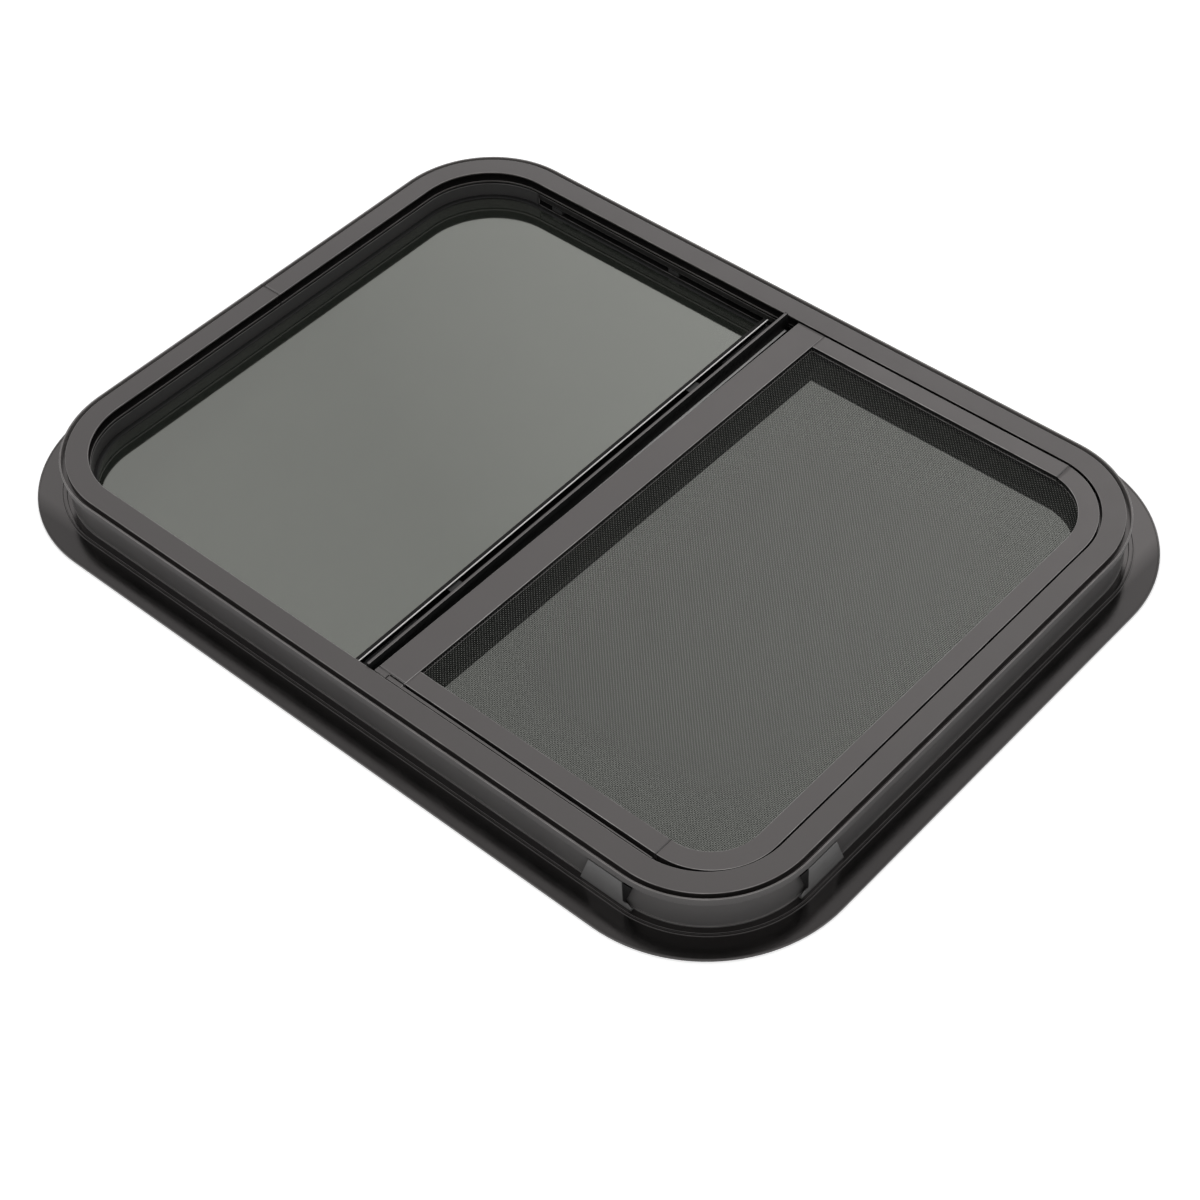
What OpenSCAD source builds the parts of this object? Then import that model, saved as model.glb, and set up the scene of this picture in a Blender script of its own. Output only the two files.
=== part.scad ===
// Caravan window: horizontal slider with a black aluminium frame, seen from the inside face.
// The window lies flat on its outer flange. X runs along the long side, Y along the short
// side and Z rises from the outside of the vehicle to the inside. Millimetres throughout.

/* [Frame body] */
// Length of the frame body over the clamp fin
body_length = 760; // [500:1:1200]
// Height of the frame body over the clamp fin
body_height = 560; // [400:1:900]
// Corner radius of the clamp fin
body_corner_r = 94; // [75:0.5:140]
// Thickness of the extruded walls
wall_t = 1.6; // [1.2:0.1:2.5]
// Distance from the clamp fin in to the outer wall of the channel
channel_depth = 4.2; // [2:0.1:6]
// Height of the top of the clamp fin
fin_top = 38.9; // [34:0.1:60]
// Thickness of the clamp fin
fin_t = 1.3; // [1:0.1:2]
// Height of the thicker lip at the top of the clamp fin
fin_lip_height = 2; // [1:0.1:4]
// Distance the lip of the clamp fin stands out
fin_lip_step = 0.4; // [0.2:0.1:0.8]
// Depth of the screw slot beside the clamp fin
slot_depth = 5.7; // [4:0.1:8]
// Distance from the clamp fin in to the flat inner ring
ring_offset = 5; // [4:0.1:8]

/* [Outer flange] */
// Width of the outer flange beyond the clamp fin
flange_width = 26.7; // [15:0.1:40]
// Thickness of the outer flange
flange_t = 2; // [1.5:0.1:3]
// Corner radius of the outer flange edge
flange_corner_r = 125.7; // [90:0.1:180]
// Width of the raised rim on the flange edge
rim_width = 1.6; // [1:0.1:3]
// Height of the raised rim above the flange
rim_rise = 0.4; // [0.2:0.1:1]
// Distance from the clamp fin out to the near side of the root ridge
ridge_start = 0.2; // [0:0.1:1]
// Width of the root ridge
ridge_width = 2.6; // [1:0.1:3]
// Height of the root ridge above the flange
ridge_rise = 1.4; // [0.5:0.1:2.5]
// Distance between the root ridge and the small second ridge
ridge_gap = 0.9; // [0.5:0.1:3]
// Width of the small second ridge
bead_width = 1.1; // [0.8:0.1:2]
// Height of the small second ridge above the flange
bead_rise = 0.6; // [0.3:0.1:1]
// Width of the small step at the foot of the channel wall
foot_width = 1; // [0.5:0.1:2]
// Height of the small step at the foot of the channel wall
foot_rise = 1.2; // [0.5:0.1:2]

/* [Inner ring and shelves] */
// Height of the flat inner ring
ring_top = 39.5; // [35:0.1:60]
// Distance from the clamp fin in to the inner edge of the ring
ring_inset = 24; // [18:0.5:30]
// Height of the top of the screen shelf
screen_shelf_z = 30; // [26:0.1:34]
// Height of the top of the outer glazing shelf
glazing_shelf_z = 7.6; // [5:0.1:9]

/* [Frame joint] */
// Length of the joining tongue inside the frame
splice_length = 60; // [30:1:120]
// Thickness of the joining tongue
splice_t = 1.5; // [1:0.1:2.5]
// Width of the folded edge of the joining tongue
splice_fold = 6; // [3:0.5:9]

/* [Fixed pane] */
// Height of the underside of the fixed pane
fixed_pane_z = 9.6; // [8:0.1:11]
// Thickness of the fixed pane
fixed_pane_t = 3.2; // [3:0.1:5]
// Depth the fixed pane reaches into the frame pocket
pane_bite = 8; // [5:0.5:10]
// Position along the window of the right edge of the fixed pane
fixed_pane_end = -4; // [-30:1:20]
// Width of the glazing seal seen inside the frame
seal_sight = 3.7; // [2:0.1:6]
// Thickness of the glazing seal above the fixed pane
seal_lip_t = 0.8; // [0.5:0.1:2]
// Distance the glazing bed shows inside the frame
bed_sight = 1; // [0.5:0.1:3]

/* [Fixed meeting bar] */
// Width of the fixed meeting bar
bar_width = 14; // [10:0.5:20]
// Height of the top of the fixed meeting bar
bar_top = 16; // [14.5:0.1:16.2]
// Wall of the fixed meeting bar
bar_wall = 1.4; // [1:0.1:2]
// Width of the pile strip on the meeting bar
meeting_pile_w = 4; // [3:0.1:6]
// Gap between an end of a pile strip and the bend beside it
pile_end_gap = 2; // [1:0.5:6]

/* [Side liner and tracks] */
// Height of the top of the liner and tracks
liner_top = 26.6; // [24:0.1:28]
// Wall of the liner and tracks
liner_t = 1.2; // [1:0.1:2]
// Depth of the liner and tracks into the pocket
liner_depth = 14; // [10:0.5:16]
// Height of the floor of the sliding track
track_floor_z = 15.9; // [14:0.1:17]
// Height of the roof of the sliding track
track_roof_z = 21.3; // [20:0.1:23]
// Distance the lower lip of a track stands out from the wall
track_lip = 1; // [0.5:0.1:2]
// Clearance between the sliding pane and the pile above it
pile_gap = 0.45; // [0.2:0.05:0.8]
// Distance from the wall to the pile strip in the roof of a track
pile_inset = 0.6; // [0.2:0.1:2]
// Width of the pile strip in the roof of a track
pile_width = 4.8; // [3:0.1:6]
// Distance of the left track stop from the left wall
left_stop_reach = 92; // [80:1:140]
// Distance of the right track stop from the left wall
right_stop_reach = 231; // [160:1:260]
// Length of a track stop
stop_length = 12; // [6:0.5:20]
// Depth of a track stop
stop_depth = 6; // [4:0.5:8]
// Height of a track stop
stop_height = 4; // [2:0.1:5]

/* [Sliding pane] */
// Height of the underside of the sliding pane
slide_pane_z = 16.8; // [16:0.1:18]
// Thickness of the sliding pane
slide_pane_t = 3.2; // [3:0.1:5]
// Depth the sliding pane reaches into the tracks
slide_bite = 6; // [4:0.5:8]
// Depth the sliding pane reaches into the end track
slide_end_bite = 3; // [1:0.5:6]
// Difference between the corner radius of the ring and that of the sliding pane
slide_corner_ease = 4; // [0:0.5:8]
// Distance from the pull blade to a glide
glide_offset = 120; // [60:1:200]
// Length of a glide
glide_length = 24; // [12:1:40]
// Width of a glide
glide_width = 3; // [2:0.1:4]
// Angle the loose sliding pane has settled at in its tracks
settle_angle = 0.85; // [0:0.05:1]
// Position along the window of the pull blade
blade_x = 7.4; // [-20:0.1:60]

/* [Pull stile] */
// Height of the top of the pull blade
blade_top = 41.8; // [36:0.1:46]
// Thickness of the pull blade
blade_t = 3.2; // [2:0.1:5]
// Gap between an end of the pull blade and the ring
blade_end_gap = 0.7; // [0.5:0.1:3]
// Gap between an end of the stile base and the wall
stile_end_gap = 5.5; // [4:0.1:12]
// Wall of the stile base
stile_t = 1.4; // [1:0.1:2]
// Depth of the fork that holds the sliding pane
fork_depth = 9; // [6:0.5:12]
// Height of the thin ledge beside the pull blade
ledge_z = 27; // [23:0.1:28]
// Width of the thin ledge beside the pull blade
ledge_width = 2; // [1.2:0.1:4]
// Width of the rubber wedge in the fork
wedge_width = 6; // [3:0.5:7]
// Distance from the blade centre to the far edge of the stile base
stile_reach = 20.6; // [15:0.1:30]
// Height of the floor of the stile base
stile_floor_z = 21.6; // [21:0.1:24]
// Height of the thin outer lip of the stile
outer_lip_z = 29; // [27:0.1:29.6]
// Height of the bright step of the stile
step_lip_z = 26.4; // [25:0.1:28]
// Width of the bright step of the stile
step_width = 2; // [1:0.1:4]
// Length of the latch plates in the stile channel
latch_plate_length = 62; // [40:1:90]
// Height of the latch plates above the stile floor
latch_plate_rise = 5; // [3:0.1:6]
// Length of the small latch clips
latch_clip_length = 13; // [8:0.5:20]
// Thickness of the small latch clips
latch_clip_t = 0.8; // [0.5:0.1:1.5]
// Distance of a latch clip from the end of the stile
latch_clip_reach = 104.5; // [80:0.5:140]

/* [Insect screen] */
// Position along the window of the left edge of the screen
screen_x = 18; // [10:0.5:60]
// Width of the left stile of the screen
screen_stile_w = 27.4; // [18:0.1:32]
// Width of the other members of the screen frame
screen_rail_w = 16.4; // [12:0.1:22]
// Gap between the screen and the ring on the far side
screen_gap = 1.6; // [1:0.1:3]
// Width of the filler lip along the near side of the screen
filler_width = 3.8; // [2:0.1:6]
// Depth of the mesh below the face of the screen
mesh_depth = 2.9; // [1.5:0.1:5]
// Thickness of the mesh sheet
mesh_t = 0.5; // [0.4:0.1:1]
// Wall of the screen members
screen_t = 1.3; // [1:0.1:2]
// Thickness of the rubber cord under the mesh
spline_t = 1.6; // [1.2:0.1:3]
// Distance the toe of the screen reaches under the ring
toe = 3.6; // [2:0.1:6]
// Width of the seam between screen members
seam = 0.3; // [0.2:0.05:0.6]
// Distance of the curved member seam from the right edge of the screen
curved_member_reach = 60.4; // [50:0.1:100]
// Width of the foot of the screen stile
screen_foot_w = 8; // [4:0.5:12]
// Length of the slit that carries the near groove on into the screen stile
slit_length = 14.7; // [5:0.1:17]
// Width of the slit in the screen stile
slit_width = 1.4; // [0.6:0.1:2]
// Depth the mesh reaches into the groove of a screen member
mesh_bite = 2; // [1.6:0.1:3]
// Width of the rubber cord that holds the mesh
spline_w = 2.4; // [1.5:0.1:3]

/* [Channel clips] */
// Length of a channel clip
clip_length = 40.5; // [30:0.5:80]
// Thickness of a channel clip
clip_t = 0.9; // [0.6:0.1:1.5]
// Height of the top of a channel clip
clip_top = 30.4; // [26:0.1:31]
// Distance the foot of a clip passes the start of the corner bend
clip_overrun = 0.5; // [-5:0.5:10]
// Distance the top of a clip leans towards the corner
clip_lean = 9.5; // [0:0.5:15]
// Length of the small tab at the corner end of a clip
clip_tab_length = 7.5; // [4:0.5:12]
// Height of the small tab at the corner end of a clip
clip_tab_height = 6; // [3:0.5:10]

/* [Outside] */
// Length of a drain cover on the outside
drain_length = 38; // [25:1:60]
// Height of a drain cover on the outside
drain_height = 4; // [3:0.1:4.5]
// Depth of a drain cover on the outside
drain_depth = 6; // [4:0.5:10]
// Distance of a drain cover from the end of the window
drain_reach = 170; // [120:5:230]

/* [Hidden] */
$fn = 96;
// A little more than touching, so that joined solids share volume
lap = 0.2;
// Running gap around loose pieces
play = 0.4;
// Distance a cut runs past what it cuts
over = 1;
half_x = body_length / 2;
half_y = body_height / 2;
straight_x = body_length - 2 * body_corner_r;
straight_y = body_height - 2 * body_corner_r;
slot_floor = fin_top - slot_depth;
inner_x = half_x - ring_inset;
inner_y = half_y - ring_inset;
inner_r = body_corner_r - ring_inset;
fixed_top = fixed_pane_z + fixed_pane_t;
slide_top = slide_pane_z + slide_pane_t;
seal_top = fixed_top + seal_lip_t;
liner_foot = seal_top + play;
bar_left = fixed_pane_end - bar_width + 2 * bar_wall;
screen_right = inner_x - screen_gap;
screen_far = inner_y - screen_gap;
screen_near = -inner_y + screen_gap + filler_width;
screen_r = inner_r - screen_gap;
rail_far_in = screen_far - screen_rail_w;
rail_near_in = screen_near + screen_rail_w;
stile_right = screen_x + screen_stile_w;
curve_x = screen_right - curved_member_reach;
blade_length = 2 * (inner_y - blade_end_gap);
stile_length = 2 * (inner_y - stile_end_gap);
latch_clip_y = stile_length / 2 - latch_clip_reach;
drain_x = half_x - drain_reach;
fork_end = blade_t / 2 + fork_depth;
channel_start = -stile_reach + stile_t;
slide_end = inner_x + slide_end_bite;
slide_corner_r = inner_r - slide_corner_ease;
slide_half = inner_y + slide_bite;
mesh_z = ring_top - mesh_depth - mesh_t;
mesh_top = mesh_z + mesh_t;
groove_z = mesh_z - spline_t;
screen_floor = screen_shelf_z + lap;
pocket_back = channel_depth + wall_t;

frame_colour = [0.16, 0.155, 0.15];
rubber_colour = [0.05, 0.05, 0.05];
glass_colour = [0.32, 0.36, 0.34, 0.5];
pile_colour = [0.12, 0.12, 0.12];
mesh_colour = [0.3, 0.3, 0.3];
bright_colour = [0.7, 0.7, 0.7];

// Flat rounded rectangle centred on the origin
module rounded(w, h, r) {
    square([w - 2 * r, h], center = true);
    square([w, h - 2 * r], center = true);
    for (sx = [-1, 1])
        for (sy = [-1, 1])
            translate([sx * (w / 2 - r), sy * (h / 2 - r)])
                circle(r);
}

// Rounded rectangle set in by a given distance from the clamp fin
module inset_outline(d) {
    rounded(body_length - 2 * d, body_height - 2 * d, body_corner_r - d);
}

// One straight length of a profile: side 0 is the right, then far, left and near
module run(side, length) {
    reach = (side % 2 == 0) ? half_x : half_y;
    rotate([0, 0, 90 * side])
        translate([reach, 0, 0])
            rotate([90, 0, 0])
                linear_extrude(height = length, center = true)
                    children();
}

// One bent corner of a profile: corner 0 is right and far, then anticlockwise
module bend(corner) {
    sx = (corner == 0 || corner == 3) ? 1 : -1;
    sy = (corner < 2) ? 1 : -1;
    translate([sx * (half_x - body_corner_r), sy * (half_y - body_corner_r), 0])
        rotate([0, 0, 90 * corner])
            rotate_extrude(angle = 90)
                translate([body_corner_r, 0])
                    children();
}

// A profile bar from offset a to offset b and from height z0 to z1
module bar2d(a, b, z0, z1) {
    translate([a, z0])
        square([b - a, z1 - z0]);
}

// Profile of the bent extrusion, without the flange beyond its ridges
module body_profile() {
    bar2d(-pocket_back, ridge_start + lap, 0, flange_t);
    bar2d(-pocket_back, -channel_depth, 0, slot_floor);
    bar2d(-ring_offset - wall_t, -fin_lip_step, slot_floor - wall_t, slot_floor);
    bar2d(-fin_t, -fin_lip_step, slot_floor - wall_t, fin_top);
    bar2d(-fin_t, 0, fin_top - fin_lip_height, fin_top);
    bar2d(-pocket_back, foot_width - channel_depth, 0, flange_t + foot_rise);
    bar2d(-ring_offset - wall_t, -ring_offset, slot_floor - wall_t, ring_top);
    bar2d(-ring_inset, -ring_offset, ring_top - wall_t, ring_top);
    bar2d(-ring_inset, -pocket_back + lap, screen_shelf_z - wall_t, screen_shelf_z);
    bar2d(ridge_start, ridge_start + ridge_width, 0, flange_t + ridge_rise);
    bar2d(ridge_start + ridge_width + ridge_gap,
        ridge_start + ridge_width + ridge_gap + bead_width, 0, flange_t + bead_rise);
}

// The bent frame extrusion: flange, channel wall, clamp fin, screw slot, ring and screen shelf
module frame() {
    color(frame_colour) {
        for (side = [0, 2])
            run(side, straight_y)
                body_profile();
        for (side = [1, 3])
            run(side, straight_x)
                body_profile();
        for (corner = [0 : 3])
            bend(corner)
                body_profile();
        difference() {
            linear_extrude(height = flange_t)
                rounded(body_length + 2 * flange_width, body_height + 2 * flange_width, flange_corner_r);
            translate([0, 0, -over])
                linear_extrude(height = flange_t + 2 * over)
                    inset_outline(-ridge_start);
        }
        difference() {
            linear_extrude(height = flange_t + rim_rise)
                rounded(body_length + 2 * flange_width, body_height + 2 * flange_width, flange_corner_r);
            translate([0, 0, -over])
                linear_extrude(height = flange_t + rim_rise + 2 * over)
                    rounded(body_length + 2 * (flange_width - rim_width),
                        body_height + 2 * (flange_width - rim_width), flange_corner_r - rim_width);
        }
    }
}

// Outer shelf that carries the bed of the fixed glass, seated against the channel wall
module outer_shelf() {
    color(frame_colour)
        translate([0, 0, glazing_shelf_z - wall_t])
            linear_extrude(height = wall_t)
                difference() {
                    inset_outline(pocket_back);
                    inset_outline(ring_inset);
                }
}

// Joining tongue inside the frame where the two ends of the bent extrusion meet
module frame_splice() {
    color(frame_colour)
        run(2, splice_length) {
            bar2d(-ring_offset - 2 * wall_t - splice_t, -ring_offset - wall_t - lap,
                screen_shelf_z + lap, ring_top - wall_t - lap);
            bar2d(-ring_offset - 2 * wall_t - splice_t - splice_fold, -ring_offset - wall_t - lap,
                ring_top - wall_t - splice_t - lap, ring_top - wall_t - lap);
        }
}

// Outline of a pane between two places along the window, set in from the clamp fin
module pane_outline(d, x0, x1) {
    intersection() {
        inset_outline(d);
        translate([x0, -half_y])
            square([x1 - x0, body_height]);
    }
}

// The fixed glass on the left
module fixed_pane() {
    color(glass_colour)
        translate([0, 0, fixed_pane_z])
            linear_extrude(height = fixed_pane_t)
                pane_outline(ring_inset - pane_bite, -half_x, fixed_pane_end);
}

// Soft bed between the outer shelf and the fixed glass, all round
module glazing_bed() {
    color(rubber_colour)
        translate([0, 0, glazing_shelf_z])
            linear_extrude(height = fixed_pane_z - glazing_shelf_z)
                difference() {
                    inset_outline(ring_inset - pane_bite);
                    inset_outline(ring_inset + bed_sight);
                }
}

// Rubber lip over the edge of the fixed glass on three sides
module glazing_seal() {
    color(rubber_colour)
        translate([0, 0, fixed_top])
            linear_extrude(height = seal_lip_t)
                difference() {
                    pane_outline(ring_inset - pane_bite, -half_x, bar_left - play);
                    inset_outline(ring_inset + seal_sight);
                }
}

// Fixed upright bar on the free edge of the fixed glass
module meeting_bar() {
    length = 2 * (inner_y - track_lip - play);
    color(frame_colour)
        translate([0, length / 2, 0])
            rotate([90, 0, 0])
                linear_extrude(height = length) {
                    translate([bar_left, fixed_top])
                        square([bar_width, bar_wall]);
                    translate([fixed_pane_end + play, fixed_pane_z - bar_wall])
                        square([bar_wall, bar_top - fixed_pane_z + bar_wall]);
                    translate([bar_left, fixed_pane_z - bar_wall])
                        square([fixed_pane_end + play + bar_wall - bar_left, bar_wall]);
                    translate([bar_left + bar_width - bar_wall, fixed_top])
                        square([bar_wall, bar_top - fixed_top]);
                }
}

// Pile strip between the fixed bar and the sliding pane
module meeting_pile() {
    length = 2 * (inner_y - pile_end_gap);
    color(pile_colour)
        translate([fixed_pane_end - play - meeting_pile_w, -length / 2, fixed_top + bar_wall])
            cube([meeting_pile_w, length, slide_pane_z - fixed_top - bar_wall - play]);
}

// Wall and top plate of the plain liner
module liner_profile() {
    bar2d(-ring_inset, -ring_inset + liner_t, liner_foot, liner_top);
    bar2d(-ring_inset, -ring_inset + liner_depth, liner_top - liner_t, liner_top);
}

// Hollow roof of a sliding track
module track_roof_profile() {
    bar2d(-ring_inset, -ring_inset + liner_t, track_roof_z, liner_top);
    bar2d(-ring_inset, -ring_inset + liner_depth, liner_top - liner_t, liner_top);
    bar2d(-ring_inset, -ring_inset + liner_depth, track_roof_z, track_roof_z + liner_t);
    bar2d(-ring_inset + liner_depth - liner_t, -ring_inset + liner_depth, track_roof_z, liner_top);
}

// Floor of a sliding track
module track_floor_profile() {
    bar2d(-ring_inset - track_lip, -ring_inset + liner_depth, liner_foot, track_floor_z);
}

// Roof and floor of a sliding track joined by a wall at the back
module track_profile() {
    track_roof_profile();
    track_floor_profile();
    bar2d(-ring_inset + liner_depth - liner_t, -ring_inset + liner_depth, liner_foot, liner_top);
}

// Plain liner of the left side wall with its two rounded corners
module side_liner() {
    color(frame_colour) {
        run(2, straight_y)
            liner_profile();
        bend(1)
            liner_profile();
        bend(2)
            liner_profile();
    }
}

// Roof of the straight track along the far side
module far_track() {
    color(frame_colour)
        run(1, straight_x - 2 * play)
            track_roof_profile();
}

// Floor of the straight track along the far side
module far_track_floor() {
    color(frame_colour)
        run(1, straight_x - 2 * play)
            track_floor_profile();
}

// Roof of the straight track along the near side
module near_track() {
    color(frame_colour)
        run(3, straight_x - 2 * play)
            track_roof_profile();
}

// Floor of the straight track along the near side
module near_track_floor() {
    color(frame_colour)
        run(3, straight_x - 2 * play)
            track_floor_profile();
}

// Track round the right end with its two rounded corners
module end_track() {
    color(frame_colour) {
        run(0, straight_y)
            track_profile();
        bend(0)
            track_profile();
        bend(3)
            track_profile();
    }
}

// Pile strip under the roof of a track
module pile_profile() {
    bar2d(-ring_inset + pile_inset, -ring_inset + pile_inset + pile_width,
        slide_top + pile_gap, track_roof_z);
}

// Pile strip in the roof of the far track
module far_pile() {
    color(pile_colour)
        run(1, straight_x - 2 * pile_end_gap)
            pile_profile();
}

// Pile strip in the roof of the near track
module near_pile() {
    color(pile_colour)
        run(3, straight_x - 2 * pile_end_gap)
            pile_profile();
}

// Pile strip in the roof of the end track
module end_pile() {
    color(pile_colour)
        run(0, straight_y)
            pile_profile();
}

// Places the loose sliding pane and its stile at their settled angle
module settled() {
    translate([blade_x, 0, 0])
        rotate([0, 0, settle_angle])
            translate([-blade_x, 0, 0])
                children();
}

// Outline of the sliding glass, rounded at its right end
module slide_outline() {
    intersection() {
        translate([slide_end - body_length, 0])
            rounded(2 * body_length, 2 * slide_half, slide_corner_r);
        translate([blade_x + blade_t, -half_y])
            square([slide_end - blade_x, body_height]);
    }
}

// Sliding glass behind the screen
module slide_pane() {
    color(glass_colour)
        settled()
            translate([0, 0, slide_pane_z])
                linear_extrude(height = slide_pane_t)
                    slide_outline();
}

// Bar along the stile: from local x a to b and from height z0 to z1, centred along y
module stile_bar(a, b, z0, z1, length) {
    translate([blade_x + a, -length / 2, z0])
        cube([b - a, length, z1 - z0]);
}

// Pull stile on the leading edge of the sliding glass
module pull_stile() {
    color(frame_colour)
        settled() {
            stile_bar(-blade_t / 2, blade_t / 2, stile_floor_z, blade_top, blade_length);
            stile_bar(-blade_t / 2, blade_t / 2, slide_pane_z - stile_t, stile_floor_z + lap, stile_length);
            stile_bar(-stile_reach, blade_t / 2, slide_pane_z, slide_pane_z + stile_t, stile_length);
            stile_bar(-stile_reach, -stile_reach + stile_t, slide_pane_z, outer_lip_z, stile_length);
            stile_bar(-stile_reach, -stile_reach + stile_t + step_width, step_lip_z - stile_t,
                step_lip_z, stile_length);
            stile_bar(blade_t / 2, fork_end, slide_top + play, slide_top + play + stile_t, stile_length);
            stile_bar(blade_t / 2, blade_t / 2 + ledge_width, slide_top + play, ledge_z, stile_length);
            stile_bar(blade_t / 2, fork_end, slide_pane_z - stile_t, slide_pane_z - play, stile_length);
        }
}

// Rubber wedge between the stile and the sliding glass
module stile_wedge() {
    color(rubber_colour)
        settled()
            stile_bar(blade_t / 2 + fork_depth - over - wedge_width, blade_t / 2 + fork_depth - over,
                slide_top, slide_top + play, stile_length - 2 * fork_depth);
}

// Cover plate at one end of the stile channel
module latch_plate(s) {
    color(bright_colour)
        settled()
            translate([blade_x + channel_start + step_width + play,
                s * (stile_length / 2 - latch_plate_length / 2 - play) - latch_plate_length / 2,
                slide_pane_z + stile_t])
                cube([-channel_start - step_width - 2 * play - blade_t / 2, latch_plate_length,
                    latch_plate_rise]);
}

// Cover plate at the far end of the stile channel
module far_latch_plate() {
    latch_plate(1);
}

// Cover plate at the near end of the stile channel
module near_latch_plate() {
    latch_plate(-1);
}

// Small clip bridging the stile channel on one side
module latch_clip(s) {
    color(bright_colour)
        settled()
            translate([blade_x + channel_start, s * latch_clip_y - latch_clip_length / 2, step_lip_z])
                cube([-channel_start - blade_t / 2, latch_clip_length, latch_clip_t]);
}

// Small clip bridging the stile channel, far one
module far_latch_clip() {
    latch_clip(1);
}

// Small clip bridging the stile channel, near one
module near_latch_clip() {
    latch_clip(-1);
}

// Low glide under one edge of the sliding glass
module glide(s) {
    color(rubber_colour)
        settled()
            translate([blade_x + glide_offset, s * (inner_y + glide_width / 2) - glide_width / 2,
                track_floor_z + lap])
                cube([glide_length, glide_width, slide_pane_z - track_floor_z - lap]);
}

// Low glide under the sliding glass, far side
module far_glide() {
    glide(1);
}

// Low glide under the sliding glass, near side
module near_glide() {
    glide(-1);
}

// Left stile of the insect screen, with the slit that carries the near groove on
module screen_stile() {
    color(frame_colour) {
        difference() {
            translate([screen_x, -inner_y + play, ring_top - screen_t])
                cube([screen_stile_w, screen_far + inner_y - play, screen_t]);
            translate([stile_right - slit_length, screen_near - slit_width, ring_top - screen_t - over])
                cube([slit_length + over, slit_width, screen_t + 2 * over]);
        }
        translate([screen_x, -inner_y + play, screen_floor])
            cube([screen_t, screen_far + inner_y - play, ring_top - screen_floor]);
        translate([stile_right - screen_t, rail_near_in, mesh_top])
            cube([screen_t, rail_far_in - rail_near_in, ring_top - mesh_top]);
        translate([screen_x, rail_near_in, groove_z - screen_t])
            cube([screen_stile_w, rail_far_in - rail_near_in, screen_t]);
        translate([screen_x, -inner_y + play, screen_floor])
            cube([screen_foot_w, screen_far + inner_y - play, screen_t]);
    }
}

// Far rail of the insect screen
module screen_far_rail() {
    length = curve_x - stile_right - 2 * seam;
    color(frame_colour)
        translate([stile_right + seam, 0, 0]) {
            translate([0, rail_far_in, ring_top - screen_t])
                cube([length, screen_rail_w, screen_t]);
            translate([0, screen_far - screen_t, screen_floor])
                cube([length, screen_t, ring_top - screen_floor]);
            translate([0, rail_far_in, mesh_top])
                cube([length, screen_t, ring_top - mesh_top]);
            translate([0, rail_far_in, groove_z - screen_t])
                cube([length, screen_rail_w, screen_t]);
            translate([0, screen_far - screen_t, screen_floor])
                cube([length, toe, screen_t]);
        }
}

// Near rail of the insect screen
module screen_near_rail() {
    length = curve_x - stile_right - 2 * seam;
    color(frame_colour)
        translate([stile_right + seam, 0, 0]) {
            translate([0, screen_near, ring_top - screen_t])
                cube([length, screen_rail_w, screen_t]);
            translate([0, screen_near, screen_floor])
                cube([length, screen_t, ring_top - screen_floor]);
            translate([0, rail_near_in - screen_t, mesh_top])
                cube([length, screen_t, ring_top - mesh_top]);
            translate([0, screen_near, groove_z - screen_t])
                cube([length, screen_rail_w, screen_t]);
            translate([0, screen_near - filler_width - toe, screen_floor])
                cube([length, filler_width + toe + screen_t, screen_t]);
        }
}

// Outline of the screen frame face between two insets
module screen_outline(d) {
    w = 2 * (screen_right - d);
    h = screen_far - screen_near - 2 * d;
    translate([0, (screen_far + screen_near) / 2])
        intersection() {
            rounded(w, h, screen_r - d);
            translate([0, -h])
                square([w, 2 * h]);
        }
}

// Part of the curved member between two insets and two heights
module curve_ring(d0, d1, z0, z1) {
    translate([0, 0, z0])
        linear_extrude(height = z1 - z0)
            difference() {
                screen_outline(d0);
                screen_outline(d1);
                translate([-half_x, -half_y])
                    square([half_x + curve_x, body_height]);
            }
}

// Curved member round the right end of the insect screen
module screen_curve() {
    color(frame_colour) {
        curve_ring(0, screen_rail_w, ring_top - screen_t, ring_top);
        curve_ring(0, screen_t, screen_floor, ring_top);
        curve_ring(screen_rail_w - screen_t, screen_rail_w, mesh_top, ring_top);
        curve_ring(0, screen_rail_w, groove_z - screen_t, groove_z);
        curve_ring(-toe, screen_t, screen_floor, screen_floor + screen_t);
    }
}

// Filler lip between the near rail of the screen and the ring
module screen_filler() {
    color(frame_colour)
        translate([0, 0, ring_top - screen_t])
            linear_extrude(height = screen_t)
                intersection() {
                    inset_outline(ring_inset + play);
                    translate([stile_right + seam, -inner_y])
                        square([curve_x - stile_right - seam, filler_width]);
                }
}

// Woven insect mesh held as a thin sheet
module screen_mesh() {
    color(mesh_colour)
        translate([0, 0, mesh_z])
            linear_extrude(height = mesh_t)
                difference() {
                    screen_outline(screen_rail_w - screen_t - mesh_bite);
                    translate([-half_x, -half_y])
                        square([half_x + stile_right - screen_t - mesh_bite, body_height]);
                }
}

// Round rubber cord that holds the mesh in its groove
module screen_spline() {
    color(rubber_colour)
        translate([0, 0, groove_z])
            linear_extrude(height = spline_t)
                difference() {
                    screen_outline(screen_rail_w - screen_t - play - spline_w);
                    screen_outline(screen_rail_w - screen_t - play);
                    translate([-half_x, -half_y])
                        square([half_x + stile_right, body_height]);
                }
}

// Foot, wall and top of a channel clip
module clip_profile() {
    bar2d(foot_width - channel_depth + play, 0, flange_t, flange_t + clip_t);
    bar2d(-clip_t, 0, flange_t, clip_top);
    bar2d(-channel_depth + play, 0, clip_top - clip_t, clip_top);
}

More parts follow.
